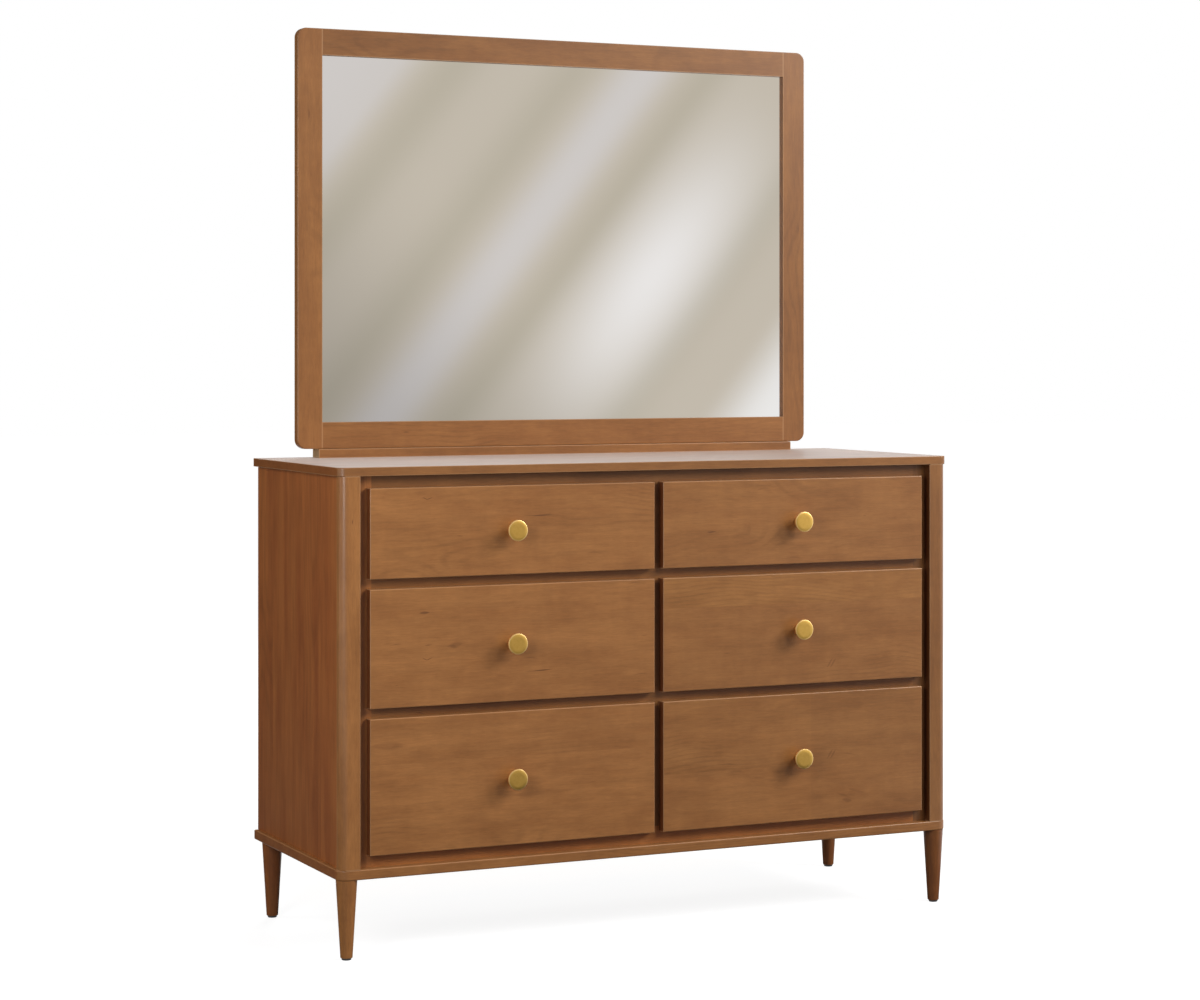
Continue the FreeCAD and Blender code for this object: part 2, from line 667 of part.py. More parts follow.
def foot_glides():
    """Nail-on glide under each leg."""
    glide = turned([(0, 0), (GLIDE_R - GLIDE_EDGE, 0), (GLIDE_R, GLIDE_EDGE),
                    (GLIDE_R, GLIDE_THICK), (GLIDE_NAIL_R, GLIDE_THICK),
                    (GLIDE_NAIL_R, GLIDE_THICK + GLIDE_NAIL_LENGTH),
                    (0, GLIDE_THICK + GLIDE_NAIL_LENGTH)])
    return [aimed(glide, (x, y, 0), (0, 0, 1)) for _, x, y in leg_points()]


# ------------------------------------------------------------------- mirror
def mirror_dowels(play=0.0):
    """Two dowels in each corner of the frame, half in the stile and half in the rail."""
    solids = []
    joint_x = half_mirror - MIRROR_STILE
    y = (glass_y + mirror_back) / 2
    half = DOWEL_LENGTH / 2 + play
    for side in (-1, 1):
        for edge, sign in ((mirror_z0, 1), (mirror_z1, -1)):
            for reach in (DOWEL_EDGE, MIRROR_RAIL - MIRROR_RABBET - DOWEL_EDGE):
                start = (side * joint_x - half, y, edge + sign * reach)
                solids.append(aimed(rod(DOWEL_R + play, 2 * half), start, (1, 0, 0)))
    return solids


def rabbet_block():
    """The space that is cut from the back of the frame for the glass and its backing."""
    half_x = half_mirror - MIRROR_STILE + MIRROR_RABBET
    inset = MIRROR_RAIL - MIRROR_RABBET
    return block(-half_x, half_x, glass_y, mirror_back,
                 mirror_z0 + inset, mirror_z1 - inset)


def mirror_stile(side):
    """Full-height side member of the frame, with rounded outer corners."""
    inner = half_mirror - MIRROR_STILE
    shape = side_block(side, inner, half_mirror, mirror_front, mirror_back, mirror_z0, mirror_z1)
    corners = [e for e in edges_where(shape, lambda p: at(abs(p.x), half_mirror))
               if not at(e.Vertexes[0].Y, e.Vertexes[1].Y)]
    shape = shape.makeFillet(MIRROR_CORNER_R, corners)
    rim = [e for e in edges_where(shape, lambda p: at(p.y, mirror_front))
           if not all(at(abs(v.X), inner) for v in e.Vertexes)]
    shape = shape.makeFillet(MIRROR_EDGE_R, rim)
    return drilled(shape.cut(rabbet_block()), mirror_dowels(HOLE_CLEAR))


def mirror_rail(z0):
    """Upper or lower member of the frame, between the stiles."""
    inner = half_mirror - MIRROR_STILE
    z1 = z0 + MIRROR_RAIL
    outer_z = z0 if at(z0, mirror_z0) else z1
    shape = block(-inner, inner, mirror_front, mirror_back, z0, z1)
    rim = edges_where(shape, lambda p: at(p.y, mirror_front) and at(p.z, outer_z))
    shape = shape.makeFillet(MIRROR_EDGE_R, rim)
    holes = mirror_dowels(HOLE_CLEAR) + mirror_fixings(HOLE_CLEAR) + brace_screws(HOLE_CLEAR)
    return drilled(shape.cut(rabbet_block()), holes)


def mirror_sheet(y0, thick):
    """Glass or backing that lies in the rabbet."""
    half_x = half_mirror - MIRROR_STILE + MIRROR_RABBET - GLASS_CLEAR
    inset = MIRROR_RAIL - MIRROR_RABBET + GLASS_CLEAR
    return block(-half_x, half_x, y0, y0 + thick, mirror_z0 + inset, mirror_z1 - inset)


def mirror_plinth():
    """Rail on the top slab that the mirror frame stands on."""
    half = PLINTH_WIDTH / 2
    shape = block(-half, half, plinth_y0, plinth_y1, TOP_HEIGHT, mirror_z0)
    rim = edges_where(shape, lambda p: at(p.y, plinth_y0) and at(p.z, mirror_z0))
    shape = shape.makeFillet(MIRROR_EDGE_R, rim)
    return drilled(shape, mirror_fixings(HOLE_CLEAR))


def mirror_brace(side):
    """Upright brace behind the mirror, notched over the plinth rail."""
    x0 = BRACE_SIDE - BRACE_WIDTH / 2
    x1 = BRACE_SIDE + BRACE_WIDTH / 2
    shape = side_block(side, x0, x1, mirror_back, brace_y1, TOP_HEIGHT, mirror_z1 - BRACE_TOP_DROP)
    notch = side_block(side, x0, x1, mirror_back, max(plinth_y1, mirror_back),
                       TOP_HEIGHT, mirror_z0)
    return drilled(shape.cut(notch), brace_screws(HOLE_CLEAR))


# -------------------------------------------------------------------- build
def build_case():
    write("top_slab", [top_slab()])
    write("base_slab", [base_slab()])
    for name, side in SIDES:
        write("front_post_" + name, [front_post(side)])
        write("side_panel_" + name, [side_panel(side)])
    write("back_panel", [back_panel()])
    write("rear_frame", rear_frame())
    write("centre_partition", [centre_partition()])
    write("frame_rails", frame_rails())
    write("frame_stiles", frame_stiles())
    write("slide_blocks", slide_blocks())
    write("case_screws", top_screws() + base_screws() + back_screws())


def build_legs():
    for name, x, y in leg_points():
        write("leg_" + name, [leg(x, y)])
    write("leg_bolts", leg_bolts())
    write("foot_glides", foot_glides())


def build_mirror():
    for name, side in SIDES:
        write("mirror_stile_" + name, [mirror_stile(side)])
    write("mirror_top_rail", [mirror_rail(mirror_z1 - MIRROR_RAIL)])
    write("mirror_bottom_rail", [mirror_rail(mirror_z0)])
    write("mirror_glass", [mirror_sheet(glass_y, GLASS_THICK)])
    write("mirror_backing", [mirror_sheet(mirror_back - BACKING_THICK, BACKING_THICK)])
    write("mirror_plinth", [mirror_plinth()])
    write("mirror_braces", [mirror_brace(side) for _, side in SIDES])
    write("mirror_dowels", mirror_dowels())
    write("mirror_screws", mirror_fixings() + brace_screws())


def build_drawers():
    cabinet = []
    for row in ROWS:
        for name, side in SIDES:
            label = row[0] + "_" + name
            fixed, middle, moving = slide_members(side, row)
            cabinet += fixed
            write("drawer_front_" + label, [drawer_front(side, row)])
            write("drawer_box_" + label, drawer_box(side, row))
            write("knob_" + label, knob(side, row))
            write("drawer_fittings_" + label, moving + front_screws(side, row))
            write("slide_middles_" + label, middle)
    write("cabinet_slides", cabinet)


os.makedirs("parts", exist_ok=True)
build_case()
build_legs()
build_mirror()
build_drawers()
for label, low, high in ROWS:
    print(label, "row: front", round(low, 2), "to", round(high, 2),
          "box", [round(v, 2) for v in box_limits(low, high)])
print("case front plane", round(front_y, 3), "back plane", round(back_y, 3))
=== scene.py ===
# %% [markdown]
# # A dresser with a mirror
#
# The carcase, drawers, slides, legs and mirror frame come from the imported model, at their real size. This
# lesson gives them their finish: stained maple, satin brass, zinc-plated steel and silvered glass. It also
# makes the knobs and the screws again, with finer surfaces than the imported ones, and it copies the slides'
# drawer members, the drawer boxes and the rear frame into pieces of their own. The bottom of a drawer box
# can then be plywood in a box of maple.
#
# Every length is in metres, +Z is up, and the drawers open towards -Y.

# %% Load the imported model
import math
import bpy
import numpy as np
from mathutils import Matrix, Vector


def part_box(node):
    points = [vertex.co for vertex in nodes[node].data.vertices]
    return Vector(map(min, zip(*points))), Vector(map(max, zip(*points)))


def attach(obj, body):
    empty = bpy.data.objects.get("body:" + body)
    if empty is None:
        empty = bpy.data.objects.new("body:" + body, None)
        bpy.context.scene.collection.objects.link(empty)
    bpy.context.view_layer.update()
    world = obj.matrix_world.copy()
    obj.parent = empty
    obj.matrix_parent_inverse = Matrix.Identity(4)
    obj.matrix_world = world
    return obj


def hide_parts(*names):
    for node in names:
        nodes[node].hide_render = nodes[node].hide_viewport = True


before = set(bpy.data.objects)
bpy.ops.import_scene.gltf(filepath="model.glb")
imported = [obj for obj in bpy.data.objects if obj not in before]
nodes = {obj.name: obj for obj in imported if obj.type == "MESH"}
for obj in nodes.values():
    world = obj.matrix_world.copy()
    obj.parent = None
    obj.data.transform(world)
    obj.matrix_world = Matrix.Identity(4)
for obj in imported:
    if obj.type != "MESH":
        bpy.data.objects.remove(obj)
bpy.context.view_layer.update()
scene = bpy.context.scene

# %% [markdown]
# ## The camera
#
# Furniture is usually shown from a little to one side, with a long lens, so that its uprights stay
# parallel. The camera is level, and a small downward shift of the film keeps the whole dresser in the
# frame. Tilting the camera instead would make the uprights lean.

# %% Camera
CAMERA_PLACE = (-2.41918, -5.08307, 1.13658)
CAMERA_TURN = math.radians(-25.314)
CAMERA_LENS = 83.37
CAMERA_FILM = 36.0
CAMERA_DROP = -0.12703

camera = bpy.data.objects.new("camera", bpy.data.cameras.new("camera"))
camera.location = CAMERA_PLACE
camera.rotation_euler = (math.radians(90), 0, CAMERA_TURN)
camera.data.lens = CAMERA_LENS
camera.data.sensor_width = CAMERA_FILM
camera.data.shift_y = CAMERA_DROP
scene.collection.objects.link(camera)
scene.camera = camera
scene.view_settings.view_transform = "Standard"
print("camera", round(Vector(CAMERA_PLACE).length, 2), "m from the origin")

# %% [markdown]
# ## Short calls for shader nodes
#
# A material is a small network. Written out in full, each node takes three or four lines, so these helpers
# add a node, set its inputs and return the socket that the next one reads.

# %% Nodes for numbers
def place(tree, kind, feeds=(), **settings):
    """Adds a node. Each feed is a value for one input, or the socket that the input is joined to."""
    node = tree.nodes.new(kind)
    for name, value in settings.items():
        setattr(node, name, value)
    for key, value in dict(feeds).items():
        if isinstance(value, bpy.types.NodeSocket):
            tree.links.new(value, node.inputs[key])
        else:
            node.inputs[key].default_value = value
    return node


def maths(tree, operation, *values):
    """One Math node with its values in order; returns its result."""
    return place(tree, "ShaderNodeMath", enumerate(values), operation=operation).outputs[0]


def spread(tree, value, low, high, to_low=0.0, to_high=1.0):
    """Stretches low..high to to_low..to_high with smooth ends, and holds it there outside."""
    feeds = {0: value, 1: low, 2: high, 3: to_low, 4: to_high}
    return place(tree, "ShaderNodeMapRange", feeds, interpolation_type="SMOOTHSTEP").outputs[0]


def near(tree, value, centre, reach):
    """1 where the value is at the centre, falling smoothly to 0 at the reach from it."""
    gap = maths(tree, "ABSOLUTE", maths(tree, "SUBTRACT", value, centre))
    return spread(tree, gap, 0.0, reach, 1.0, 0.0)


print("number helpers ready")

# %% Nodes for places and colours
def vectors(tree, operation, *values):
    """One Vector Math node with its values in order; returns its vector."""
    return place(tree, "ShaderNodeVectorMath", enumerate(values), operation=operation).outputs[0]


def split(tree, vector):
    """The three parts of a vector."""
    return place(tree, "ShaderNodeSeparateXYZ", {0: vector}).outputs


def joined(tree, x, y, z):
    """A vector from its three parts."""
    return place(tree, "ShaderNodeCombineXYZ", {0: x, 1: y, 2: z}).outputs[0]


def object_place(tree):
    """The point's own place in the dresser's frame."""
    return tree.nodes.new("ShaderNodeTexCoord").outputs["Object"]


def noise(tree, vector, scale, detail=2.0, roughness=0.5):
    """Soft noise from 0 to 1, about 0.5 on average."""
    feeds = {"Vector": vector, "Scale": scale, "Detail": detail, "Roughness": roughness}
    return place(tree, "ShaderNodeTexNoise", feeds).outputs[0]


def colours(tree, share, first, second, blend_type="MIX"):
    """Mixes two colours: share 0 gives the first, 1 the second. Their sockets on a Mix node are 6 and 7."""
    feeds = {0: share, 6: first, 7: second}
    return place(tree, "ShaderNodeMix", feeds, data_type="RGBA", blend_type=blend_type).outputs[2]


print("place and colour helpers ready")

# %% Groups and materials
def new_group(name, inputs, outputs):
    """An empty node group with the named sockets; returns it, what it is given and its end node."""
    group = bpy.data.node_groups.new(name, "ShaderNodeTree")
    for label, kind, value in inputs:
        socket = group.interface.new_socket(label, in_out="INPUT", socket_type="NodeSocket" + kind)
        socket.default_value = value
    for label, kind in outputs:
        group.interface.new_socket(label, in_out="OUTPUT", socket_type="NodeSocket" + kind)
    given = group.nodes.new("NodeGroupInput").outputs
    end = group.nodes.new("NodeGroupOutput")
    return group, given, end


def use_group(tree, group, feeds):
    """Places a node group with its inputs; returns its outputs."""
    return place(tree, "ShaderNodeGroup", feeds.items(), node_tree=group).outputs


def new_material(name):
    """An empty material; returns it, its tree and the socket that its shader is joined to."""
    material = bpy.data.materials.new(name)
    material.use_nodes = True
    tree = material.node_tree
    tree.nodes.clear()
    return material, tree, tree.nodes.new("ShaderNodeOutputMaterial").inputs["Surface"]


def finish_with(tree, surface, feeds):
    """Ends a material in one Principled shader with these inputs."""
    shader = place(tree, "ShaderNodeBsdfPrincipled", feeds)
    tree.links.new(shader.outputs[0], surface)


def relief(tree, height, depth):
    """A normal that follows the height, which runs from 0 to 1 over the depth in metres."""
    return place(tree, "ShaderNodeBump", {"Height": height, "Distance": depth}).outputs[0]


print("group and material helpers ready")

# %% [markdown]
# ## Floor, sky and lamps
#
# The floor is plain and pale, and the sky behind it is white. For the camera, and for what glass and metal
# reflect, the sky is plain white. For all other rays it is a quiet cool grey, so that the wood isn't
# flooded with light. The floor adds white to its own shading: a little less near the dresser, where it
# keeps the soft shadow, and all of it further off, where it runs into the sky without a line.

# %% Sky
SKY_WHITE = (1.0, 1.0, 1.0, 1.0)
SKY_FILL = (0.94, 0.965, 1.0, 1.0)
SKY_FILL_STRENGTH = 0.06


def seen_directly(tree):
    """1 for rays from the camera, and ones that metal or glass send on; 0 for the rest."""
    path = tree.nodes.new("ShaderNodeLightPath").outputs
    shiny = maths(tree, "MAXIMUM", path["Is Glossy Ray"], path["Is Transmission Ray"])
    return maths(tree, "MAXIMUM", path["Is Camera Ray"], shiny)


def mixed(tree, share, first, second):
    """Two shaders, mixed: share 0 gives the first, 1 the second."""
    return place(tree, "ShaderNodeMixShader", {0: share, 1: first, 2: second}).outputs[0]


def make_sky():
    """White to look at, and a soft even light on the object."""
    world = bpy.data.worlds.new("daylight")
    world.use_nodes = True
    tree = world.node_tree
    tree.nodes.clear()
    white = place(tree, "ShaderNodeBackground", {0: SKY_WHITE, 1: 1.0}).outputs[0]
    fill = place(tree, "ShaderNodeBackground", {0: SKY_FILL, 1: SKY_FILL_STRENGTH}).outputs[0]
    sky = mixed(tree, seen_directly(tree), fill, white)
    place(tree, "ShaderNodeOutputWorld", {"Surface": sky})
    scene.world = world


make_sky()
print("sky", scene.world.name)

# %% Floor
FLOOR_PALE = (0.24, 0.236, 0.23, 1.0)
FLOOR_SHADING = (0.30, 0.30, 0.30, 1.0)
FLOOR_LIFT = (0.87, 0.87, 0.87, 1.0)
LIFT_FROM, LIFT_TO = 0.9, 2.6
FLOOR_HALF = 30.0


def floor_paper():
    """Pale paper. Seen directly it is part shading and part plain white, which keeps a light shadow."""
    material, tree, surface = new_material("floor_paper")
    paper = place(tree, "ShaderNodeBsdfDiffuse", {0: FLOOR_PALE}).outputs[0]
    shading = place(tree, "ShaderNodeBsdfDiffuse", {0: FLOOR_SHADING}).outputs[0]
    away = place(tree, "ShaderNodeVectorMath", {0: object_place(tree)}, operation="LENGTH").outputs["Value"]
    white = colours(tree, spread(tree, away, LIFT_FROM, LIFT_TO), FLOOR_LIFT, SKY_WHITE)
    lift = place(tree, "ShaderNodeEmission", {0: white, 1: 1.0}).outputs[0]
    seen = place(tree, "ShaderNodeAddShader", {0: shading, 1: lift}).outputs[0]
    tree.links.new(mixed(tree, seen_directly(tree), paper, seen), surface)
    return material


def flat_panel(name, corners, material):
    """A single rectangle through four corners, which is no part of the dresser."""
    mesh = bpy.data.meshes.new(name)
    mesh.from_pydata(corners, [], [(0, 1, 2, 3)])
    mesh.materials.append(material)
    panel = bpy.data.objects.new(name, mesh)
    scene.collection.objects.link(panel)
    return panel


flat_panel("floor", [(-FLOOR_HALF, -FLOOR_HALF, 0), (FLOOR_HALF, -FLOOR_HALF, 0),
                     (FLOOR_HALF, FLOOR_HALF, 0), (-FLOOR_HALF, FLOOR_HALF, 0)], floor_paper())
print("floor", 2 * FLOOR_HALF, "m square")

# %% [markdown]
# The key lamp stands high on the right. It gives each knob its soft shadow, down and to the left, and
# lights the upper rounding of every edge. A second lamp in front evens it out. A tall narrow one on the
# left draws the thin highlight down the rounded corner post, a faint one beside it opens up the shadows
# there, and a wide one further back keeps the side from going black. The last one stands behind the
# dresser, for its back.

# %% Lamps
CASE_MIDDLE = (0.0, -0.2, 0.7)
# Each lamp: its place, width, height and power in watts, and whether it shows in the lacquer's sheen.
LAMPS = {"key_lamp": ((3.6, -2.6, 3.3), 1.7, 1.7, 172.0, True),
         "front_lamp": ((1.4, -3.1, 2.6), 1.4, 1.2, 43.0, False),
         "low_lamp": ((-1.5, -1.6, 1.2), 0.8, 1.2, 1.5, False),
         "tall_lamp": ((-1.85, -1.4, 1.3), 0.6, 1.3, 18.0, True),
         "side_lamp": ((-3.2, 1.6, 1.8), 1.6, 2.0, 28.0, False),
         "rear_lamp": ((1.8, 4.2, 2.4), 2.0, 2.0, 115.0, False)}


def soft_lamp(name, spot, width, height, watts, gleams):
    """A rectangular lamp that faces the middle of the case; one that gleams shows in the lacquer's sheen."""
    data = bpy.data.lights.new(name, "AREA")
    data.shape = "RECTANGLE"
    data.size = width
    data.size_y = height
    data.energy = watts
    lamp = bpy.data.objects.new(name, data)
    lamp.location = spot
    lamp.rotation_euler = (Vector(CASE_MIDDLE) - Vector(spot)).to_track_quat("-Z", "Y").to_euler()
    lamp.visible_camera = False
    lamp.visible_glossy = gleams
    scene.collection.objects.link(lamp)


for lamp_name, lamp_facts in LAMPS.items():
    soft_lamp(lamp_name, *lamp_facts)
print("lamps", sorted(LAMPS))

# %% [markdown]
# ## What the mirror looks into
#
# A mirror has no colour of its own: it shows the room. So the room gets a wall, in front of the dresser,
# with soft slanting streaks of window light on it. Only reflections see this wall. It casts no shadow and
# lights nothing. Modelling a real room with windows would give the same picture for much more work.

# %% Reflected wall
WALL_Y, WALL_TOP = -3.5, 5.0
WALL_SPAN = (-6.0, 8.0)
STREAK_SLANT = math.radians(51.0)
STREAK_START, STREAK_END = -1.5, 0.8
WALL_PLAIN = (0.585, 0.525, 0.448, 1.0)
WALL_SHADE = (0.518, 0.467, 0.385, 1.0)
WALL_LIGHT = (0.664, 0.628, 0.618, 1.0)
WALL_BRIGHT = (0.885, 0.870, 0.872, 1.0)
WALL_GLARE = (0.868, 0.840, 0.838, 1.0)
GLARE_ACROSS, GLARE_WIDTH = -0.73, 0.31
GLARE_ALONG, GLARE_LENGTH = 2.38, 0.92
DIM_FROM, DIM_TO, DIM_LEVEL = 1.1, 2.1, (0.66, 0.66, 0.67, 1.0)
STREAKS = [(-1.50, WALL_BRIGHT), (-1.36, WALL_BRIGHT), (-1.24, WALL_PLAIN), (-1.16, WALL_PLAIN),
           (-1.04, WALL_PLAIN), (-0.96, WALL_SHADE), (-0.91, WALL_SHADE), (-0.83, WALL_PLAIN),
           (-0.60, WALL_PLAIN), (-0.54, WALL_PLAIN), (-0.47, WALL_SHADE), (-0.42, WALL_SHADE),
           (-0.35, WALL_PLAIN), (-0.28, WALL_LIGHT), (-0.20, WALL_LIGHT), (-0.12, WALL_PLAIN),
           (-0.05, WALL_SHADE), (0.00, WALL_SHADE), (0.09, WALL_PLAIN), (0.22, WALL_PLAIN),
           (0.30, WALL_SHADE), (0.36, WALL_SHADE), (0.43, WALL_PLAIN), (0.50, WALL_LIGHT),
           (0.80, WALL_LIGHT)]


def streaked_wall():
    """Light across the streaks, z cos(slant) - x sin(slant), with a glare at one place along them, and less
    light where they start."""
    material, tree, surface = new_material("wall_with_window_light")
    x, _, z = split(tree, object_place(tree))
    cos, sin = math.cos(STREAK_SLANT), math.sin(STREAK_SLANT)
    across = maths(tree, "SUBTRACT", maths(tree, "MULTIPLY", z, cos), maths(tree, "MULTIPLY", x, sin))
    along = maths(tree, "ADD", maths(tree, "MULTIPLY", x, cos), maths(tree, "MULTIPLY", z, sin))
    length = STREAK_END - STREAK_START
    share = maths(tree, "DIVIDE", maths(tree, "SUBTRACT", across, STREAK_START), length)
    ramp = place(tree, "ShaderNodeValToRGB", {0: share})
    stops = ramp.color_ramp.elements
    while len(stops) < len(STREAKS):
        stops.new(1.0)
    for stop, (where, colour) in zip(stops, STREAKS):
        stop.position = (where - STREAK_START) / length
        stop.color = colour
    ramp.color_ramp.interpolation = "B_SPLINE"
    glare = maths(tree, "MULTIPLY", near(tree, across, GLARE_ACROSS, GLARE_WIDTH),
                  near(tree, along, GLARE_ALONG, GLARE_LENGTH))
    lit = colours(tree, glare, ramp.outputs[0], WALL_GLARE)
    lit = colours(tree, spread(tree, along, DIM_FROM, DIM_TO, 1.0, 0.0), lit, DIM_LEVEL, "MULTIPLY")
    tree.links.new(place(tree, "ShaderNodeEmission", {0: lit, 1: 1.0}).outputs[0], surface)
    return material


def only_in_reflections(panel):
    """Hides a panel from everything but glossy rays."""
    panel.visible_camera = False
    panel.visible_diffuse = False
    panel.visible_shadow = False
    panel.visible_transmission = False


def standing_card(name, span, y, top, material):
    """A card that stands on the floor and spans x."""
    corners = [(span[0], y, 0), (span[1], y, 0), (span[1], y, top), (span[0], y, top)]
    only_in_reflections(flat_panel(name, corners, material))


standing_card("reflected_wall", WALL_SPAN, WALL_Y, WALL_TOP, streaked_wall())
print("streaks", len(STREAKS), "stops")

# %% [markdown]
# Satin lacquer shows a blurred room as well, and a plain white one would wash the stain out. Three flags
# stand behind the dresser. The dark one on the left keeps the white sky out of the sheen on that side of
# the case, the brown one in the middle warms the left end of the top, and the grey one on the right tones
# down the rest of the top's sheen. Carpets do the same for the white floor.

# %% Flags and carpets
FLAG_Y, FLAG_TOP = 3.2, 4.0
FLAG_EDGES = (-8.0, -0.9, 0.52, 8.0)
FLAGS = {"left_flag": ("dark_cloth", (0.05, 0.045, 0.04, 1.0)),
         "middle_flag": ("brown_cloth", (0.36, 0.20, 0.11, 1.0)),
         "right_flag": ("grey_cloth", (0.78, 0.77, 0.76, 1.0))}
CARPET_LEVEL = 0.004
WEAVES = {"grey_carpet": (0.30, 0.28, 0.26, 1.0), "dark_carpet": (0.07, 0.065, 0.06, 1.0)}
# Each carpet: its weave, and its span along x and along y.
CARPETS = {"front_carpet": ("grey_carpet", (-0.7, 3.5), (-3.5, -1.1)),
           "near_carpet": ("dark_carpet", (-0.7, 1.0), (-1.1, 0.4)),
           "left_carpet": ("dark_carpet", (-3.5, -0.7), (-1.5, 3.2))}


def plain_card(name, colour):
    """An even card for the sheen on lacquer and metal. A true mirror looks through it."""
    material, tree, surface = new_material(name)
    card = place(tree, "ShaderNodeEmission", {0: colour, 1: 1.0}).outputs[0]
    clear = tree.nodes.new("ShaderNodeBsdfTransparent").outputs[0]
    sharp = tree.nodes.new("ShaderNodeLightPath").outputs["Is Singular Ray"]
    tree.links.new(mixed(tree, sharp, card, clear), surface)
    return material


def lying_card(name, x_span, y_span, material):
    """A card that lies just above the floor."""
    (x0, x1), (y0, y1) = x_span, y_span
    corners = [(x, y, CARPET_LEVEL) for x, y in ((x0, y0), (x1, y0), (x1, y1), (x0, y1))]
    only_in_reflections(flat_panel(name, corners, material))


for (flag, (cloth, colour)), span in zip(FLAGS.items(), zip(FLAG_EDGES, FLAG_EDGES[1:])):
    standing_card(flag, span, FLAG_Y, FLAG_TOP, plain_card(cloth, colour))
woven = {weave: plain_card(weave, colour) for weave, colour in WEAVES.items()}
for carpet, (weave, x_span, y_span) in CARPETS.items():
    lying_card(carpet, x_span, y_span, woven[weave])
print("flags", sorted(FLAGS), "carpets", sorted(CARPETS))

# %% [markdown]
# ## The figure of maple
#
# Maple is a quiet wood. Its growth rings show as faint arches, its stain takes unevenly and leaves soft
# clouds, and here and there it has a short dark mineral streak. A picture of wood would stretch and repeat,
# so the figure is worked out in the solid, in *grain space*: x along the grain, y across the board's face,
# z into the board. The same figure then meets itself round every edge, and shows as end grain where a board
# is cut across.
#
# Wide pieces are glued up from boards. Each board gets its own number, and with it its own tone, its own
# place in the noise and its own tree.

# %% Grain space
LUCK_SHIFT = (9.0, 5.0, 7.0)
BOARD_WIDTH = 0.30


def stretched(tree, vector, along, across):
    """Grain space scaled for noise: slow along the grain, quick across it."""
    return vectors(tree, "MULTIPLY", vector, (along, across, across))


def board_numbers():
    """The node group that tells boards apart, from the place across the grain."""
    group, given, end = new_group(
        "board_numbers",
        [("Grain space", "Vector", (0, 0, 0)), ("Board", "Float", BOARD_WIDTH), ("Joint", "Float", 0.0),
         ("Seed", "Float", 0.0)],
        [("Own space", "Vector"), ("Aside", "Float"), ("Luck", "Vector")])
    across = split(group, given["Grain space"])[1]
    boards = maths(group, "DIVIDE", maths(group, "SUBTRACT", across, given["Joint"]), given["Board"])
    number = maths(group, "ADD", maths(group, "FLOOR", boards), given["Seed"])
    luck = place(group, "ShaderNodeTexWhiteNoise", {"W": number}, noise_dimensions="1D").outputs["Color"]
    shift = vectors(group, "MULTIPLY", luck, LUCK_SHIFT)
    group.links.new(vectors(group, "ADD", given["Grain space"], shift), end.inputs["Own space"])
    from_tree = maths(group, "SUBTRACT", maths(group, "FRACT", boards), split(group, luck)[1])
    group.links.new(maths(group, "MULTIPLY", from_tree, given["Board"]), end.inputs["Aside"])
    group.links.new(luck, end.inputs["Luck"])
    return group


BOARDS = board_numbers()
print("board numbers:", len(BOARDS.nodes), "nodes")

# %% [markdown]
# Rings come from the distance to the tree's middle, which lies beside and behind each board. Its depth
# sways slowly along the grain, so the rings that the face cuts turn into arches. The sine of the distance,
# cut off below zero, makes thin late-wood lines, and noise breaks them up where the figure fades.

# %% Growth rings
RING_SPACING = 0.0062
RING_RAGGED = 1.8
TREE_DEPTH = 0.045
TREE_DEPTH_VARIES = 0.08
TREE_SWAY = 0.13
# Noise that is (along, across): turns to the metre along the grain and across it.
SWAY_NOISE = (2.1, 4.0)
RAGGED_NOISE = (30.0, 190.0)
FADE_NOISE = (2.4, 9.0)
FADE_FROM, FADE_TO = 0.45, 0.66


def growth_rings():
    """The node group for late-wood lines: 1 on a line, 0 between them."""
    group, given, end = new_group(
        "growth_rings",
        [("Own space", "Vector", (0, 0, 0)), ("Grain space", "Vector", (0, 0, 0)), ("Aside", "Float", 0.0),
         ("Luck", "Vector", (0, 0, 0))],
        [("Late wood", "Float")])
    own = given["Own space"]
    sway = maths(group, "SUBTRACT", noise(group, stretched(group, own, *SWAY_NOISE), 1.0), 0.5)
    start = maths(group, "MULTIPLY_ADD", split(group, given["Luck"])[0], TREE_DEPTH_VARIES, TREE_DEPTH)
    into = split(group, given["Grain space"])[2]
    depth = maths(group, "ADD", start, maths(group, "MULTIPLY_ADD", sway, TREE_SWAY, into))
    aside = given["Aside"]
    radius = maths(group, "SQRT", maths(group, "ADD", maths(group, "MULTIPLY", aside, aside),
                                        maths(group, "MULTIPLY", depth, depth)))
    ragged = noise(group, stretched(group, own, *RAGGED_NOISE), 1.0)
    turns = maths(group, "MULTIPLY", radius, math.tau / RING_SPACING)
    turns = maths(group, "MULTIPLY_ADD", ragged, RING_RAGGED, turns)
    lines = spread(group, maths(group, "SINE", turns), 0.0, 1.0)
    fade = noise(group, stretched(group, own, *FADE_NOISE), 1.0, 1.0)
    clear = spread(group, fade, FADE_FROM, FADE_TO)
    group.links.new(maths(group, "MULTIPLY", lines, clear), end.inputs["Late wood"])
    return group


RINGS = growth_rings()
print("growth rings every", RING_SPACING * 1000, "mm")

# %% [markdown]
# Mineral streaks are rare, long and thin, and bend a little. The face is divided into large cells; a few of
# them hold a streak at their own point, with its own length and lean.

# %% Mineral streaks
STREAK_CELL = (0.26, 0.10)
STREAK_SHARE = 0.42
STREAK_LENGTHS = (0.006, 0.026)
STREAK_WIDTH = 0.0013
STREAK_LEAN = 0.12
STREAK_BEND = 7.0


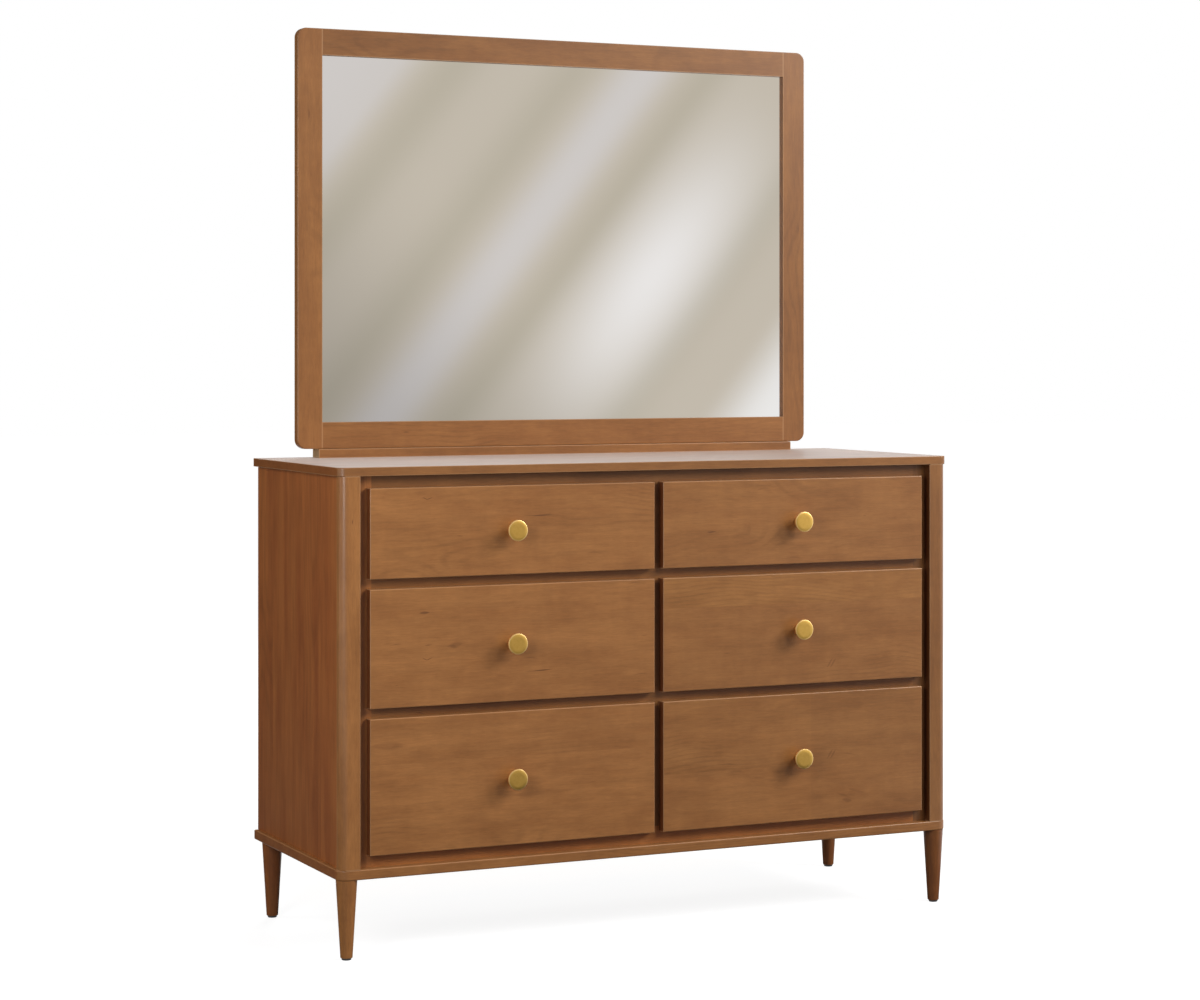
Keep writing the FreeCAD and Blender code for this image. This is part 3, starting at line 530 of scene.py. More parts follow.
def mineral_streaks():
    """The node group for dark streaks: 1 in the middle of a streak, falling to 0 at its edge."""
    group, given, end = new_group(
        "mineral_streaks", [("Own space", "Vector", (0, 0, 0))], [("Streak", "Float")])
    cells = vectors(group, "DIVIDE", given["Own space"], (*STREAK_CELL, 1.0))
    cell = place(group, "ShaderNodeTexVoronoi", {"Vector": cells, "Scale": 1.0},
                 voronoi_dimensions="2D").outputs
    gap = vectors(group, "MULTIPLY", vectors(group, "SUBTRACT", cells, cell["Position"]),
                  (*STREAK_CELL, 0.0))
    along, across, _ = split(group, gap)
    chance, lean, size = split(group, cell["Color"])
    slope = maths(group, "MULTIPLY_ADD", lean, 2 * STREAK_LEAN, -STREAK_LEAN)
    curve = maths(group, "MULTIPLY", maths(group, "MULTIPLY", along, along), STREAK_BEND)
    across = maths(group, "ADD", maths(group, "MULTIPLY_ADD", along, slope, across), curve)
    shortest, longest = STREAK_LENGTHS
    reach = maths(group, "MULTIPLY_ADD", maths(group, "MULTIPLY", size, size), longest - shortest, shortest)
    share = maths(group, "DIVIDE", maths(group, "ABSOLUTE", along), reach)
    long = spread(group, share, 0.0, 1.0, 1.0, 0.0)
    thin = near(group, across, 0.0, STREAK_WIDTH)
    there = maths(group, "LESS_THAN", chance, STREAK_SHARE)
    streak = maths(group, "MULTIPLY", maths(group, "MULTIPLY", long, thin), there)
    group.links.new(streak, end.inputs["Streak"])
    return group


STREAK_MARKS = mineral_streaks()
print("mineral streaks up to", 2000 * STREAK_LENGTHS[1], "mm long")

# %% [markdown]
# A few marks are listed one by one instead, on the drawer fronts, where chance would rarely put them:
# longer dashes, short ticks that meet in a V, and soft smudges.

# %% Placed flecks
FLECK_TIP = 0.02
FLECK_SOFT_FROM = 0.2
FLECK_FADES_FROM = 0.5


def placed_fleck():
    """The node group for one fleck: 1 in its middle, 0 at its edge.

    It leans and bends by along (lean + bend along), and tapers to its ends."""
    group, given, end = new_group(
        "placed_fleck",
        [("Place", "Vector", (0, 0, 0)), ("Centre", "Vector", (0, 0, 0)), ("Half length", "Float", 0.01),
         ("Half width", "Float", 0.001), ("Lean", "Float", 0.0), ("Bend", "Float", 0.0)],
        [("Fleck", "Float")])
    along, _, up = split(group, vectors(group, "SUBTRACT", given["Place"], given["Centre"]))
    slope = maths(group, "MULTIPLY_ADD", along, given["Bend"], given["Lean"])
    line = maths(group, "MULTIPLY", along, slope)
    aside = maths(group, "ABSOLUTE", maths(group, "SUBTRACT", up, line))
    share = maths(group, "DIVIDE", maths(group, "ABSOLUTE", along), given["Half length"])
    room = maths(group, "MULTIPLY", given["Half width"], spread(group, share, 0.0, 1.0, 1.0, FLECK_TIP))
    inside = spread(group, maths(group, "DIVIDE", aside, room), FLECK_SOFT_FROM, 1.0, 1.0, 0.0)
    fading = spread(group, share, FLECK_FADES_FROM, 1.0, 1.0, 0.0)
    group.links.new(maths(group, "MULTIPLY", inside, fading), end.inputs["Fleck"])
    return group


FLECK = placed_fleck()
print("placed flecks:", len(FLECK.nodes), "nodes")

# %% [markdown]
# The wood itself puts these together. Clouds are patches as long as a hand, where the stain took more or
# less. Streaks are longer and thinner, fibres are as fine as the eye can follow, pores are finer still, and
# curl is the faint banding across the grain that maple shows where its fibres wave. Each one shades the
# stain a little.

# %% Wood figure
CLOUD_NOISE, CLOUD_DETAIL, CLOUD_ROUGHNESS = (7.0, 22.0), 4.0, 0.6
CLOUD_FROM, CLOUD_TO = 0.25, 0.75
LATE_SHADE = 0.12
# Each part: how deep it shades, its noise along and across the grain, its detail and its roughness.
FIGURE_PARTS = {"streaks": (0.30, (2.6, 75.0), 4.0, 0.65),
                "fibres": (0.50, (24.0, 300.0), 3.0, 0.7),
                "pores": (0.34, (90.0, 1500.0), 1.0, 0.5),
                "curl": (0.17, (46.0, 11.0), 2.0, 0.5)}
BOARD_TONE_FROM, BOARD_TONE_VARIES = 0.96, 0.08
FIBRES_DULL, CLOUDS_DULL = 0.10, 0.05
LATE_STANDS = 0.4


def shaded(group, shade, value, depth):
    """The shade, darker where the value is high and lighter where it is low, by half the depth each way."""
    away = maths(group, "MULTIPLY", maths(group, "SUBTRACT", 0.5, value), depth)
    return maths(group, "MULTIPLY", shade, maths(group, "ADD", away, 1.0))


def wood_figure():
    """The node group that gives a wood its colour, its extra roughness and the relief of its fibres."""
    group, given, end = new_group(
        "wood_figure",
        [("Grain space", "Vector", (0, 0, 0)), ("Board", "Float", BOARD_WIDTH), ("Joint", "Float", 0.0),
         ("Seed", "Float", 0.0), ("Pale", "Color", (1, 1, 1, 1)), ("Deep", "Color", (1, 1, 1, 1)),
         ("Streak", "Color", (0, 0, 0, 1)), ("Streaks", "Float", 1.0), ("Contrast", "Float", 1.0)],
        [("Colour", "Color"), ("Gloss", "Float"), ("Relief", "Float")])
    space = given["Grain space"]
    boards = use_group(group, BOARDS, {"Grain space": space, "Board": given["Board"],
                                       "Joint": given["Joint"], "Seed": given["Seed"]})
    own = boards["Own space"]
    late = use_group(group, RINGS, {"Own space": own, "Grain space": space, "Aside": boards["Aside"],
                                    "Luck": boards["Luck"]})["Late wood"]
    mark = use_group(group, STREAK_MARKS, {"Own space": own})["Streak"]
    clouds = noise(group, stretched(group, own, *CLOUD_NOISE), 1.0, CLOUD_DETAIL, CLOUD_ROUGHNESS)
    clouds = spread(group, clouds, CLOUD_FROM, CLOUD_TO)
    stain = colours(group, clouds, given["Pale"], given["Deep"])
    shade = maths(group, "MULTIPLY_ADD", split(group, boards["Luck"])[2], BOARD_TONE_VARIES, BOARD_TONE_FROM)
    shade = shaded(group, shade, late, maths(group, "MULTIPLY", given["Contrast"], LATE_SHADE))
    figure = {}
    for part, (deep, turns, detail, roughness) in FIGURE_PARTS.items():
        figure[part] = noise(group, stretched(group, own, *turns), 1.0, detail, roughness)
        shade = shaded(group, shade, figure[part], maths(group, "MULTIPLY", given["Contrast"], deep))
    tone = place(group, "ShaderNodeVectorMath", {0: stain, "Scale": shade}, operation="SCALE").outputs[0]
    dark = maths(group, "MULTIPLY", mark, given["Streaks"])
    group.links.new(colours(group, dark, tone, given["Streak"]), end.inputs["Colour"])
    dull = maths(group, "MULTIPLY_ADD", figure["fibres"], FIBRES_DULL,
                 maths(group, "MULTIPLY", clouds, CLOUDS_DULL))
    group.links.new(dull, end.inputs["Gloss"])
    raised = maths(group, "MULTIPLY_ADD", late, LATE_STANDS, figure["fibres"])
    group.links.new(raised, end.inputs["Relief"])
    return group


WOOD = wood_figure()
print("wood figure:", len(WOOD.nodes), "nodes")

# %% [markdown]
# A sharp edge holds no stain, so it is rounded over and comes out a little lighter; the lighter colour is
# also painted highlight, for the light that the rounded edge catches. Its place is known: on the face of a
# box, the distance to the nearest edge is the middle one of the distances to the three pairs of sides.

# %% Eased edges
EDGE_REACH = 0.0022


def eased_edges():
    """The node group for a box's edges: 1 on an edge, 0 further in than the reach."""
    group, given, end = new_group(
        "eased_edges",
        [("Place", "Vector", (0, 0, 0)), ("Centre", "Vector", (0, 0, 0)), ("Half", "Vector", (1, 1, 1)),
         ("Reach", "Float", EDGE_REACH)],
        [("Edge", "Float")])
    gap = vectors(group, "ABSOLUTE", vectors(group, "SUBTRACT", given["Place"], given["Centre"]))
    x, y, z = split(group, vectors(group, "SUBTRACT", given["Half"], gap))
    most = maths(group, "MAXIMUM", maths(group, "MAXIMUM", x, y), z)
    least = maths(group, "MINIMUM", maths(group, "MINIMUM", x, y), z)
    total = maths(group, "ADD", maths(group, "ADD", x, y), z)
    middle = maths(group, "SUBTRACT", maths(group, "SUBTRACT", total, most), least)
    group.links.new(spread(group, middle, 0.0, given["Reach"], 1.0, 0.0), end.inputs["Edge"])
    return group


def edge_mask(tree, node, reach):
    """1 on the edges of the node's box."""
    low, high = (Vector(corner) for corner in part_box(node))
    return use_group(tree, EDGES, {"Place": object_place(tree), "Centre": (low + high) / 2,
                                   "Half": (high - low) / 2, "Reach": reach})["Edge"]


EDGES = eased_edges()
print("eased edges reach", EDGE_REACH * 1000, "mm")

# %% [markdown]
# ## Stained maple
#
# Every piece has its own lay. The drawer fronts, rails and slabs run from side to side, and the posts,
# stiles, sides and legs stand upright. A lay is written as three letters: the dresser's axes that run along
# the grain, across the face and into the board.
#
# The figure gives the colour, and satin lacquer covers it. A face that was cut across the grain drinks more
# stain, so a material can tint a stretch of the piece; a tint can also be painted shade or painted light on
# a stretch that lies in shade or catches light. The thick lacquer of the top shows a pale veil at a low
# angle, which the shader's sheen gives on upper faces only.

# %% Stained wood
STAIN_PALE = (0.330, 0.139, 0.042, 1.0)
STAIN_DEEP = (0.250, 0.098, 0.027, 1.0)
STAIN_STREAK = (0.115, 0.040, 0.013, 1.0)
# The pale edge colour is partly sanded-through stain and partly painted highlight.
EDGE_PALE_AND_HIGHLIGHT = (0.50, 0.27, 0.13, 1.0)
EDGE_PALE_AND_HIGHLIGHT_SHARE = 0.65
LACQUER_ROUGH = 0.29
GRAIN_DEPTH = 0.00004
SKIN = 0.0004


def grain_space(tree, lay):
    """The point's place, with the axes in the order of the lay."""
    x, y, z = split(tree, object_place(tree))
    axis = {"x": x, "y": y, "z": z}
    return joined(tree, *(axis[letter] for letter in lay))


def with_tints(tree, colour, tints):
    """The colour, multiplied by each tint between its low and its high along one of the dresser's axes."""
    for axis, low, high, tint in tints:
        there = split(tree, object_place(tree))["xyz".index(axis)]
        inside = maths(tree, "MULTIPLY", maths(tree, "GREATER_THAN", there, low),
                       maths(tree, "LESS_THAN", there, high))
        colour = colours(tree, inside, colour, tint, "MULTIPLY")
    return colour


def with_flecks(tree, colour, flecks, streak):
    """The colour with each fleck on it."""
    for x, z, half_length, half_width, lean, bend, dark in flecks:
        mark = use_group(tree, FLECK, {"Place": object_place(tree), "Centre": (x, 0.0, z), "Lean": lean,
                                       "Bend": bend, "Half length": half_length, "Half width": half_width})
        colour = colours(tree, maths(tree, "MULTIPLY", mark["Fleck"], dark), colour, streak)
    return colour


def upper_veil(tree, node, bloom):
    """The bloom on the node's upper face, and none elsewhere."""
    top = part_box(node)[1][2]
    height = split(tree, object_place(tree))[2]
    return maths(tree, "MULTIPLY", maths(tree, "GREATER_THAN", height, top - SKIN), bloom)


def wood(name, lay, seed, pale, deep, streak=STAIN_STREAK, board=BOARD_WIDTH, joint=0.0, streaks=1.0,
         rough=LACQUER_ROUGH, edges_of=None, contrast=1.0, slow=1.0, flecks=(), tints=(), bloom=0.0):
    """Wood with its figure, under satin lacquer; box edges are lighter, partly as painted highlight.

    Slow, below 1, draws the figure out along the grain. Bloom is the pale veil on the upper face."""
    material, tree, surface = new_material(name)
    space = grain_space(tree, lay)
    if slow != 1.0:
        space = vectors(tree, "MULTIPLY", space, (slow, 1.0, 1.0))
    figure = use_group(tree, WOOD, {"Grain space": space, "Board": board, "Joint": joint, "Seed": seed,
                                    "Pale": pale, "Deep": deep, "Streak": streak, "Streaks": streaks,
                                    "Contrast": contrast})
    colour = with_flecks(tree, with_tints(tree, figure["Colour"], tints), flecks, streak)
    # The lighter edges are partly stain lost on the rounding and partly painted highlight.
    if edges_of:
        share = maths(tree, "MULTIPLY", edge_mask(tree, edges_of, EDGE_REACH), EDGE_PALE_AND_HIGHLIGHT_SHARE)
        colour = colours(tree, share, colour, EDGE_PALE_AND_HIGHLIGHT)
    finish_with(tree, surface, {"Base Color": colour,
                                "Roughness": maths(tree, "ADD", figure["Gloss"], rough),
                                "Normal": relief(tree, figure["Relief"], GRAIN_DEPTH),
                                "Sheen Weight": upper_veil(tree, edges_of, bloom) if bloom else 0.0})
    return material


def dress(node, material):
    """Gives a CAD node its finish."""
    nodes[node].data.materials.clear()
    nodes[node].data.materials.append(material)


def toned(colour, tone):
    """A colour made lighter or darker."""
    return tuple(part * tone for part in colour[:3]) + (1.0,)


print("grain stands", GRAIN_DEPTH * 1000000, "microns high")

# %% [markdown]
# The slabs, the corner posts and the mirror's frame and rail are solid maple. No two boards take the stain
# alike, so each of these pieces has its own tone; the lower tones of the mirror's right stile and top rail
# are painted shade. The ends of the slabs and of the mirror's rail are tinted, and the faces of the posts
# that look at the drawers are darkened as painted shade.

# %% Slabs, posts and mirror frame
SLAB_END_TINT = (0.90, 0.72, 0.60, 1.0)
PALE_END_TINT = (1.45, 2.3, 4.0, 1.0)
# Painted shade for the faces of the posts that look into the recess beside the drawers.
POST_RECESS_PAINTED_SHADE = (0.46, 0.38, 0.34, 1.0)
TOP_BLOOM = {"top_slab": 0.38}
FIRST_SEED, SEED_STEP = 3.0, 7
# Each piece: its lay, its tone and its roughness.
# The low tones of the mirror's right stile and top rail are painted shade, damping the key lamp's light
# there.
STAINED = {"top_slab": ("xyz", 0.88, 0.29), "base_slab": ("xyz", 0.97, 0.29),
           "front_post_left": ("zxy", 1.10, 0.24), "front_post_right": ("zxy", 0.81, 0.27),
           "mirror_stile_left": ("zxy", 1.00, 0.29), "mirror_stile_right": ("zxy", 0.85, 0.29),
           "mirror_top_rail": ("xzy", 0.87, 0.29), "mirror_bottom_rail": ("xzy", 0.91, 0.29),
           "mirror_plinth": ("xyz", 0.93, 0.29)}


def face_tint(plane, tint):
    """A tint for the faces of a piece that lie in a plane across x."""
    return "x", plane - SKIN, plane + SKIN, tint


def ends_of(node, tint):
    """The tints of a board's two ends, where its length is along x."""
    return [face_tint(corner[0], tint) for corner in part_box(node)]


TINTED = {"mirror_plinth": ends_of("mirror_plinth", PALE_END_TINT),
          "top_slab": ends_of("top_slab", SLAB_END_TINT), "base_slab": ends_of("base_slab", SLAB_END_TINT),
          "front_post_left": [face_tint(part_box("front_post_left")[1][0], POST_RECESS_PAINTED_SHADE)],
          "front_post_right": [face_tint(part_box("front_post_right")[0][0], POST_RECESS_PAINTED_SHADE)]}
for number, (node, (lay, tone, rough)) in enumerate(sorted(STAINED.items())):
    dress(node, wood("stained_" + node, lay, FIRST_SEED + SEED_STEP * number, toned(STAIN_PALE, tone),
                     toned(STAIN_DEEP, tone), rough=rough, edges_of=node, tints=TINTED.get(node, ()),
                     bloom=TOP_BLOOM.get(node, 0.0)))
print("stained boards", len(STAINED))

# %% [markdown]
# The side panels and most of the legs took the stain a little redder. The face frame lies in the shade
# behind the fronts; its top rail is painted darker, as painted shade, and its bottom rail and left stile
# are painted lighter, as painted light.

# %% Sides, face frame and legs
RED_PALE = (0.305, 0.106, 0.028, 1.0)
RED_DEEP = (0.215, 0.063, 0.016, 1.0)
SIDE_PALE = (0.363, 0.120, 0.030, 1.0)
SIDE_DEEP = (0.256, 0.072, 0.0175, 1.0)
# Painted light on the face frame's left stile and bottom rail, and painted shade on its top rail.
LEFT_STILE_PAINTED_LIGHT = (2.0, 1.85, 1.8, 1.0)
TOP_RAIL_PAINTED_SHADE = (0.74, 0.74, 0.76, 1.0)
BOTTOM_RAIL_PAINTED_LIGHT = (1.50, 1.35, 1.20, 1.0)
TOP_RAIL_SPAN, BOTTOM_RAIL_SPAN, LEFT_STILE_SPAN = (0.80, 1.0), (0.0, 0.25), (-1.0, -0.3)
FRAME_SEED, LEG_SEED, LEG_SEED_STEP = 150.0, 171.0, 5
SIDE_FIGURE = {"board": 0.14, "joint": 0.03, "streaks": 0.3, "contrast": 1.2, "slow": 0.4}
LEG_FIGURE = {"streaks": 0.4, "contrast": 1.2}
SIDES = {"side_panel_left": (101.0, SIDE_PALE, SIDE_DEEP), "side_panel_right": (110.0, RED_PALE, RED_DEEP)}
# Each piece: its lay, its tone and its tints.
FACE_FRAME = {"frame_rails": ("xzy", 0.84, [("z", *TOP_RAIL_SPAN, TOP_RAIL_PAINTED_SHADE),
                                            ("z", *BOTTOM_RAIL_SPAN, BOTTOM_RAIL_PAINTED_LIGHT)]),
              "frame_stiles": ("zxy", 0.64, [("x", *LEFT_STILE_SPAN, LEFT_STILE_PAINTED_LIGHT)]),
              "mirror_braces": ("zxy", 0.84, ())}
LEGS = {"front_left": (STAIN_PALE, STAIN_DEEP, 1.13), "front_right": (RED_PALE, RED_DEEP, 0.73),
        "rear_left": (RED_PALE, RED_DEEP, 0.93), "rear_right": (RED_PALE, RED_DEEP, 0.82)}

for node, (seed, pale, deep) in SIDES.items():
    dress(node, wood("stained_" + node, "zyx", seed, pale, deep, **SIDE_FIGURE))
for node, (lay, tone, tints) in FACE_FRAME.items():
    dress(node, wood("stained_" + node, lay, FRAME_SEED, toned(STAIN_PALE, tone), toned(STAIN_DEEP, tone),
                     tints=tints))
for number, (corner, (pale, deep, tone)) in enumerate(sorted(LEGS.items())):
    dress("leg_" + corner, wood("stained_leg_" + corner, "zxy", LEG_SEED + LEG_SEED_STEP * number,
                                toned(pale, tone), toned(deep, tone), **LEG_FIGURE))
print("stained pieces", len(STAINED) + len(SIDES) + len(FACE_FRAME) + len(LEGS))

# %% [markdown]
# The six drawer fronts are what everybody looks at, so each gets a seed of its own, and the height of its
# glue joint. Only the middle one on the right is made of two plainly different boards. End grain drinks
# more stain, so the ends of a front are darker. The flecks are the marks that make each front known again.

# %% Drawer fronts
END_TINT = (0.50, 0.36, 0.32, 1.0)
UPPER_BOARD_TINT = (1.07, 1.10, 1.06, 1.0)
UPPER_HALF_TINT = (1.02, 1.03, 1.02, 1.0)
RIGHT_PART_TINT = (0.95, 0.95, 0.96, 1.0)
RIGHT_PART_FROM = 0.34
PAST_EVERYTHING = 1.0
FRONT_STREAKS = 0.5
# Each front: its seed, the height of its joint and its tone.
FRONTS = {"top_left": (211.0, 0.600, 1.01), "top_right": (223.0, 0.600, 0.99),
          "middle_left": (235.0, 0.440, 1.03), "middle_right": (247.0, 0.6267, 0.98),
          "bottom_left": (259.0, 0.060, 1.09), "bottom_right": (271.0, 0.303, 0.985)}
UPPER_TINTS = {"middle_right": [("z", FRONTS["middle_right"][1], PAST_EVERYTHING, UPPER_BOARD_TINT)],
               "bottom_right": [("z", FRONTS["bottom_right"][1], PAST_EVERYTHING, UPPER_HALF_TINT),
                                ("x", RIGHT_PART_FROM, PAST_EVERYTHING, RIGHT_PART_TINT)]}
# Each fleck: x, z, half length, half width, lean, bend, darkness.
FLECKS = {"top_left": [(-0.4895, 0.8537, 0.0075, 0.0012, -0.45, 0, 0.8),
                       (-0.4810, 0.8535, 0.0090, 0.0012, 0.35, 0, 0.8),
                       (-0.2500, 0.8165, 0.0285, 0.0019, 0.02, 0, 0.85),
                       (-0.2720, 0.8165, 0.0210, 0.0009, -0.03, 0, 0.5)],
          "top_right": [(0.1160, 0.7740, 0.0135, 0.0022, 0.12, 0, 0.75),
                        (0.1120, 0.7750, 0.0090, 0.0034, 0, 0, 0.3),
                        (0.1990, 0.7770, 0.0060, 0.0162, 0, 0, 0.15)],
          "middle_left": [(-0.4910, 0.6400, 0.0135, 0.0038, 0.02, -3, 0.7),
                          (-0.4830, 0.5790, 0.0105, 0.0015, 0.05, 0, 0.6),
                          (-0.4900, 0.5530, 0.0075, 0.0012, -0.45, 0, 0.85),
                          (-0.4815, 0.5528, 0.0090, 0.0012, 0.35, 0, 0.85),
                          (-0.4290, 0.5770, 0.0210, 0.0081, 0.15, 0, 0.35),
                          (-0.4320, 0.5740, 0.0090, 0.0054, -0.2, 0, 0.3),
                          (-0.2480, 0.5205, 0.0270, 0.0019, 0.03, 0.9, 0.85),
                          (-0.2700, 0.5195, 0.0210, 0.0011, -0.02, 0, 0.5)],
          "middle_right": [(0.3830, 0.5040, 0.0090, 0.0054, 1.3, 0, 0.4),
                           (0.3900, 0.5030, 0.0090, 0.0054, 1.3, 0, 0.4)],
          "bottom_left": [(-0.5650, 0.3955, 0.0450, 0.0108, 0, 0, 0.25),
                          (-0.5450, 0.3920, 0.0180, 0.0027, 0, 0, 0.3),
                          (-0.2500, 0.2870, 0.0900, 0.0081, 0.02, 0, 0.22)],
          "bottom_right": [(0.3830, 0.3210, 0.0090, 0.0054, 1.3, 0, 0.4),
                           (0.3900, 0.3200, 0.0090, 0.0054, 1.3, 0, 0.4),
                           (0.4227, 0.2257, 0.0150, 0.0068, -0.2, 0, 0.4),
                           (0.4150, 0.2360, 0.0240, 0.0041, -0.35, 0, 0.25),
                           (0.4450, 0.2430, 0.0300, 0.0041, -0.3, 0, 0.2)]}

for label, (seed, joint, tone) in FRONTS.items():
    node = "drawer_front_" + label
    dress(node, wood("stained_" + node, "xzy", seed, toned(STAIN_PALE, tone), toned(STAIN_DEEP, tone),
                     joint=joint, edges_of=node, streaks=FRONT_STREAKS, flecks=FLECKS[label],
                     tints=ends_of(node, END_TINT) + UPPER_TINTS.get(label, [])))
print("drawer fronts", len(FRONTS), "with", sum(len(flecks) for flecks in FLECKS.values()), "flecks")

# %% [markdown]
# ## Woods that nobody stained
#
# The back, the drawer bottoms and the board behind the glass are birch plywood, which shows its plies as
# stripes along every cut edge. The stripes are worked out from the distance into the board, so they meet
# at the corners as real plies do.

# %% Plywood
PLY_THICKNESS = 0.0014
PLY_SOFT = 0.3
PLY_PALE, PLY_DEEP = (0.66, 0.46, 0.27, 1.0), (0.56, 0.37, 0.20, 1.0)
PLY_DARK = (0.22, 0.13, 0.07, 1.0)
PLY_ROUGH, PLY_GRAIN_DEPTH = 0.52, 0.00006
PLY_SHEET = {"Board": 0.61, "Joint": 0.02, "Streaks": 0.6}
PLY_SEED, PLY_SEED_STEP = 331.0, 5
CLEAR_STREAK = (0.30, 0.19, 0.10, 1.0)
EDGE_DEPTH = 0.0004


def plywood(name, lay, seed, node):
    """Birch faces; within a hair of the board's cut edges, stripes by sin(pi into / ply thickness)."""
    material, tree, surface = new_material(name)
    space = grain_space(tree, lay)
    figure = use_group(tree, WOOD, {"Grain space": space, "Seed": seed, "Pale": PLY_PALE, "Deep": PLY_DEEP,
                                    "Streak": CLEAR_STREAK, **PLY_SHEET})
    along, across, into = split(tree, space)
    low, high = (Vector(corner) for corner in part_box(node))
    middle, half = (low + high) / 2, (high - low) / 2
    cut = 0.0
    for value, axis in ((along, "xyz".index(lay[0])), (across, "xyz".index(lay[1]))):
        gap = maths(tree, "ABSOLUTE", maths(tree, "SUBTRACT", value, middle[axis]))
        cut = maths(tree, "MAXIMUM", cut, maths(tree, "GREATER_THAN", gap, half[axis] - EDGE_DEPTH))
    plies = maths(tree, "SINE", maths(tree, "MULTIPLY", into, math.pi / PLY_THICKNESS))
    dark = maths(tree, "MULTIPLY", cut, spread(tree, plies, -PLY_SOFT, PLY_SOFT))
    finish_with(tree, surface, {"Base Color": colours(tree, dark, figure["Colour"], PLY_DARK),
                                "Roughness": maths(tree, "ADD", figure["Gloss"], PLY_ROUGH),
                                "Normal": relief(tree, figure["Relief"], PLY_GRAIN_DEPTH)})
    return material


for number, node in enumerate(("back_panel", "mirror_backing")):
    dress(node, plywood("plywood_" + node, "xzy", PLY_SEED + PLY_SEED_STEP * number, node))
print("plywood plies", PLY_THICKNESS * 1000, "mm")

# %% [markdown]
# Inside, the case is plain poplar, a cheap straight wood with a green cast. The drawer boxes and the
# dowels are clear maple. They are the same figure as the stained wood, with other colours and less gloss,
# so nothing new has to be worked out for them.

# %% Plain woods
CLEAR = ((0.66, 0.49, 0.31, 1.0), (0.56, 0.40, 0.24, 1.0))
POPLAR = ((0.55, 0.46, 0.28, 1.0), (0.43, 0.38, 0.21, 1.0))
POPLAR_SEED, POPLAR_BOARD, DOWEL_SEED, PLAIN_ROUGH = 301.0, 0.12, 451.0, 0.5
POPLAR_LAYS = {"slide_blocks": "yzx", "centre_partition": "zyx"}

for node, lay in POPLAR_LAYS.items():
    dress(node, wood("poplar_" + node, lay, POPLAR_SEED, *POPLAR, streak=CLEAR_STREAK, board=POPLAR_BOARD,
                     rough=PLAIN_ROUGH))
dress("mirror_dowels", wood("clear_dowels", "zxy", DOWEL_SEED, *CLEAR, streak=CLEAR_STREAK,
                            rough=PLAIN_ROUGH))
print("plain woods on", len(POPLAR_LAYS) + 1, "nodes")

# %% [markdown]
# A node can hold several solids, such as a drawer box and its bottom, or the screws and slide members of a
# drawer. One material doesn't suit them all, so the node's mesh is copied, the points at the same place are
# merged, and solids that share no point are told apart. A wooden one gets the lay of its own shape: the
# grain runs along its longest side, and its thinnest side goes into the board.
#
# Boards that share a point, as they do at a dovetail, can't be told apart in this simple way. They stay one
# solid, with one lay for all of them.

# %% Solids of a node
ROUNDED_TO = 6


def solids_of(node):
    """The node's closed solids, each as its points and its triangles.

    Points at the same place become one. Every point then takes the lowest number among its neighbours,
    again and again, until each solid has one number. Boards that share a point count as one solid."""
    mesh = nodes[node].data
    mesh.calc_loop_triangles()
    points = np.empty(len(mesh.vertices) * 3)
    mesh.vertices.foreach_get("co", points)
    points = points.reshape(-1, 3)
    corners = np.empty(len(mesh.loop_triangles) * 3, dtype=np.int64)
    mesh.loop_triangles.foreach_get("vertices", corners)
    _, first, same = np.unique(np.round(points, ROUNDED_TO), axis=0, return_index=True, return_inverse=True)
    points = points[first]
    triangles = same.reshape(-1)[corners].reshape(-1, 3)
    owner = np.arange(len(points))
    while True:
        lowest = owner.copy()
        least = owner[triangles].min(axis=1)
        for corner in range(3):
            np.minimum.at(lowest, triangles[:, corner], least)
        if np.array_equal(lowest, owner):
            break
        owner = lowest
    made = []
    for number in np.unique(owner):
        mine = np.flatnonzero(owner == number)
        renumber = np.full(len(points), -1)
        renumber[mine] = np.arange(len(mine))
        made.append((points[mine], renumber[triangles[owner[triangles[:, 0]] == number]]))
    return made


def lay_of(points):
    """The lay of a solid from its sides: the longest, the middle one, the thinnest."""
    sides = np.ptp(points, axis=0)
    return "".join("xyz"[axis] for axis in np.argsort(-sides, kind="stable"))


def gathered(solids):
    """Several solids as one set of points and faces, and the number of the solid for each face."""
    points, faces, numbers, start = [], [], [], 0
    for number, (own_points, own_faces) in enumerate(solids):
        points.append(own_points)
        faces.append(own_faces + start)
        numbers.append(np.full(len(own_faces), number))
        start += len(own_points)
    return np.concatenate(points), np.concatenate(faces), np.concatenate(numbers)


print("a drawer box has", len(solids_of("drawer_box_top_left")), "solids")

# %% [markdown]
# A drawer box is four maple boards, dovetailed at the corners, round a plywood bottom in a groove. Here the
# four boards are one solid, whose grain runs from side to side, and the bottom is another. The rear frame is
# poplar posts and rails, which are one solid too. The shapes stay just as they were packed, and only the
# materials are shared out anew, one to a solid.

# %% Drawer boxes and rear frame
LABELS = sorted(FRONTS)
BOTTOM_THICK = 0.008
BOX_BOARD = 0.2
BOX_SEED, BOX_SEED_STEP, BOX_ROUGH = 401.0, 11, 0.36
REAR_SEED = 311.0


def new_piece(name, points, faces, body, materials, face_materials=None, replaced=()):
    """A piece from points and faces; it rides on a body, and stands for the replaced nodes."""
    mesh = bpy.data.meshes.new(name)
    mesh.from_pydata([tuple(point) for point in np.asarray(points).tolist()], [],
                     [tuple(face) for face in (faces.tolist() if hasattr(faces, "tolist") else faces)])
    for material in materials:
        mesh.materials.append(material)
    if face_materials is not None:
        mesh.polygons.foreach_set("material_index", np.asarray(face_materials, dtype=np.int32))
    mesh.update()
    piece = bpy.data.objects.new(name, mesh)
    scene.collection.objects.link(piece)
    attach(piece, body)
    if replaced:
        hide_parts(*replaced)
    return piece


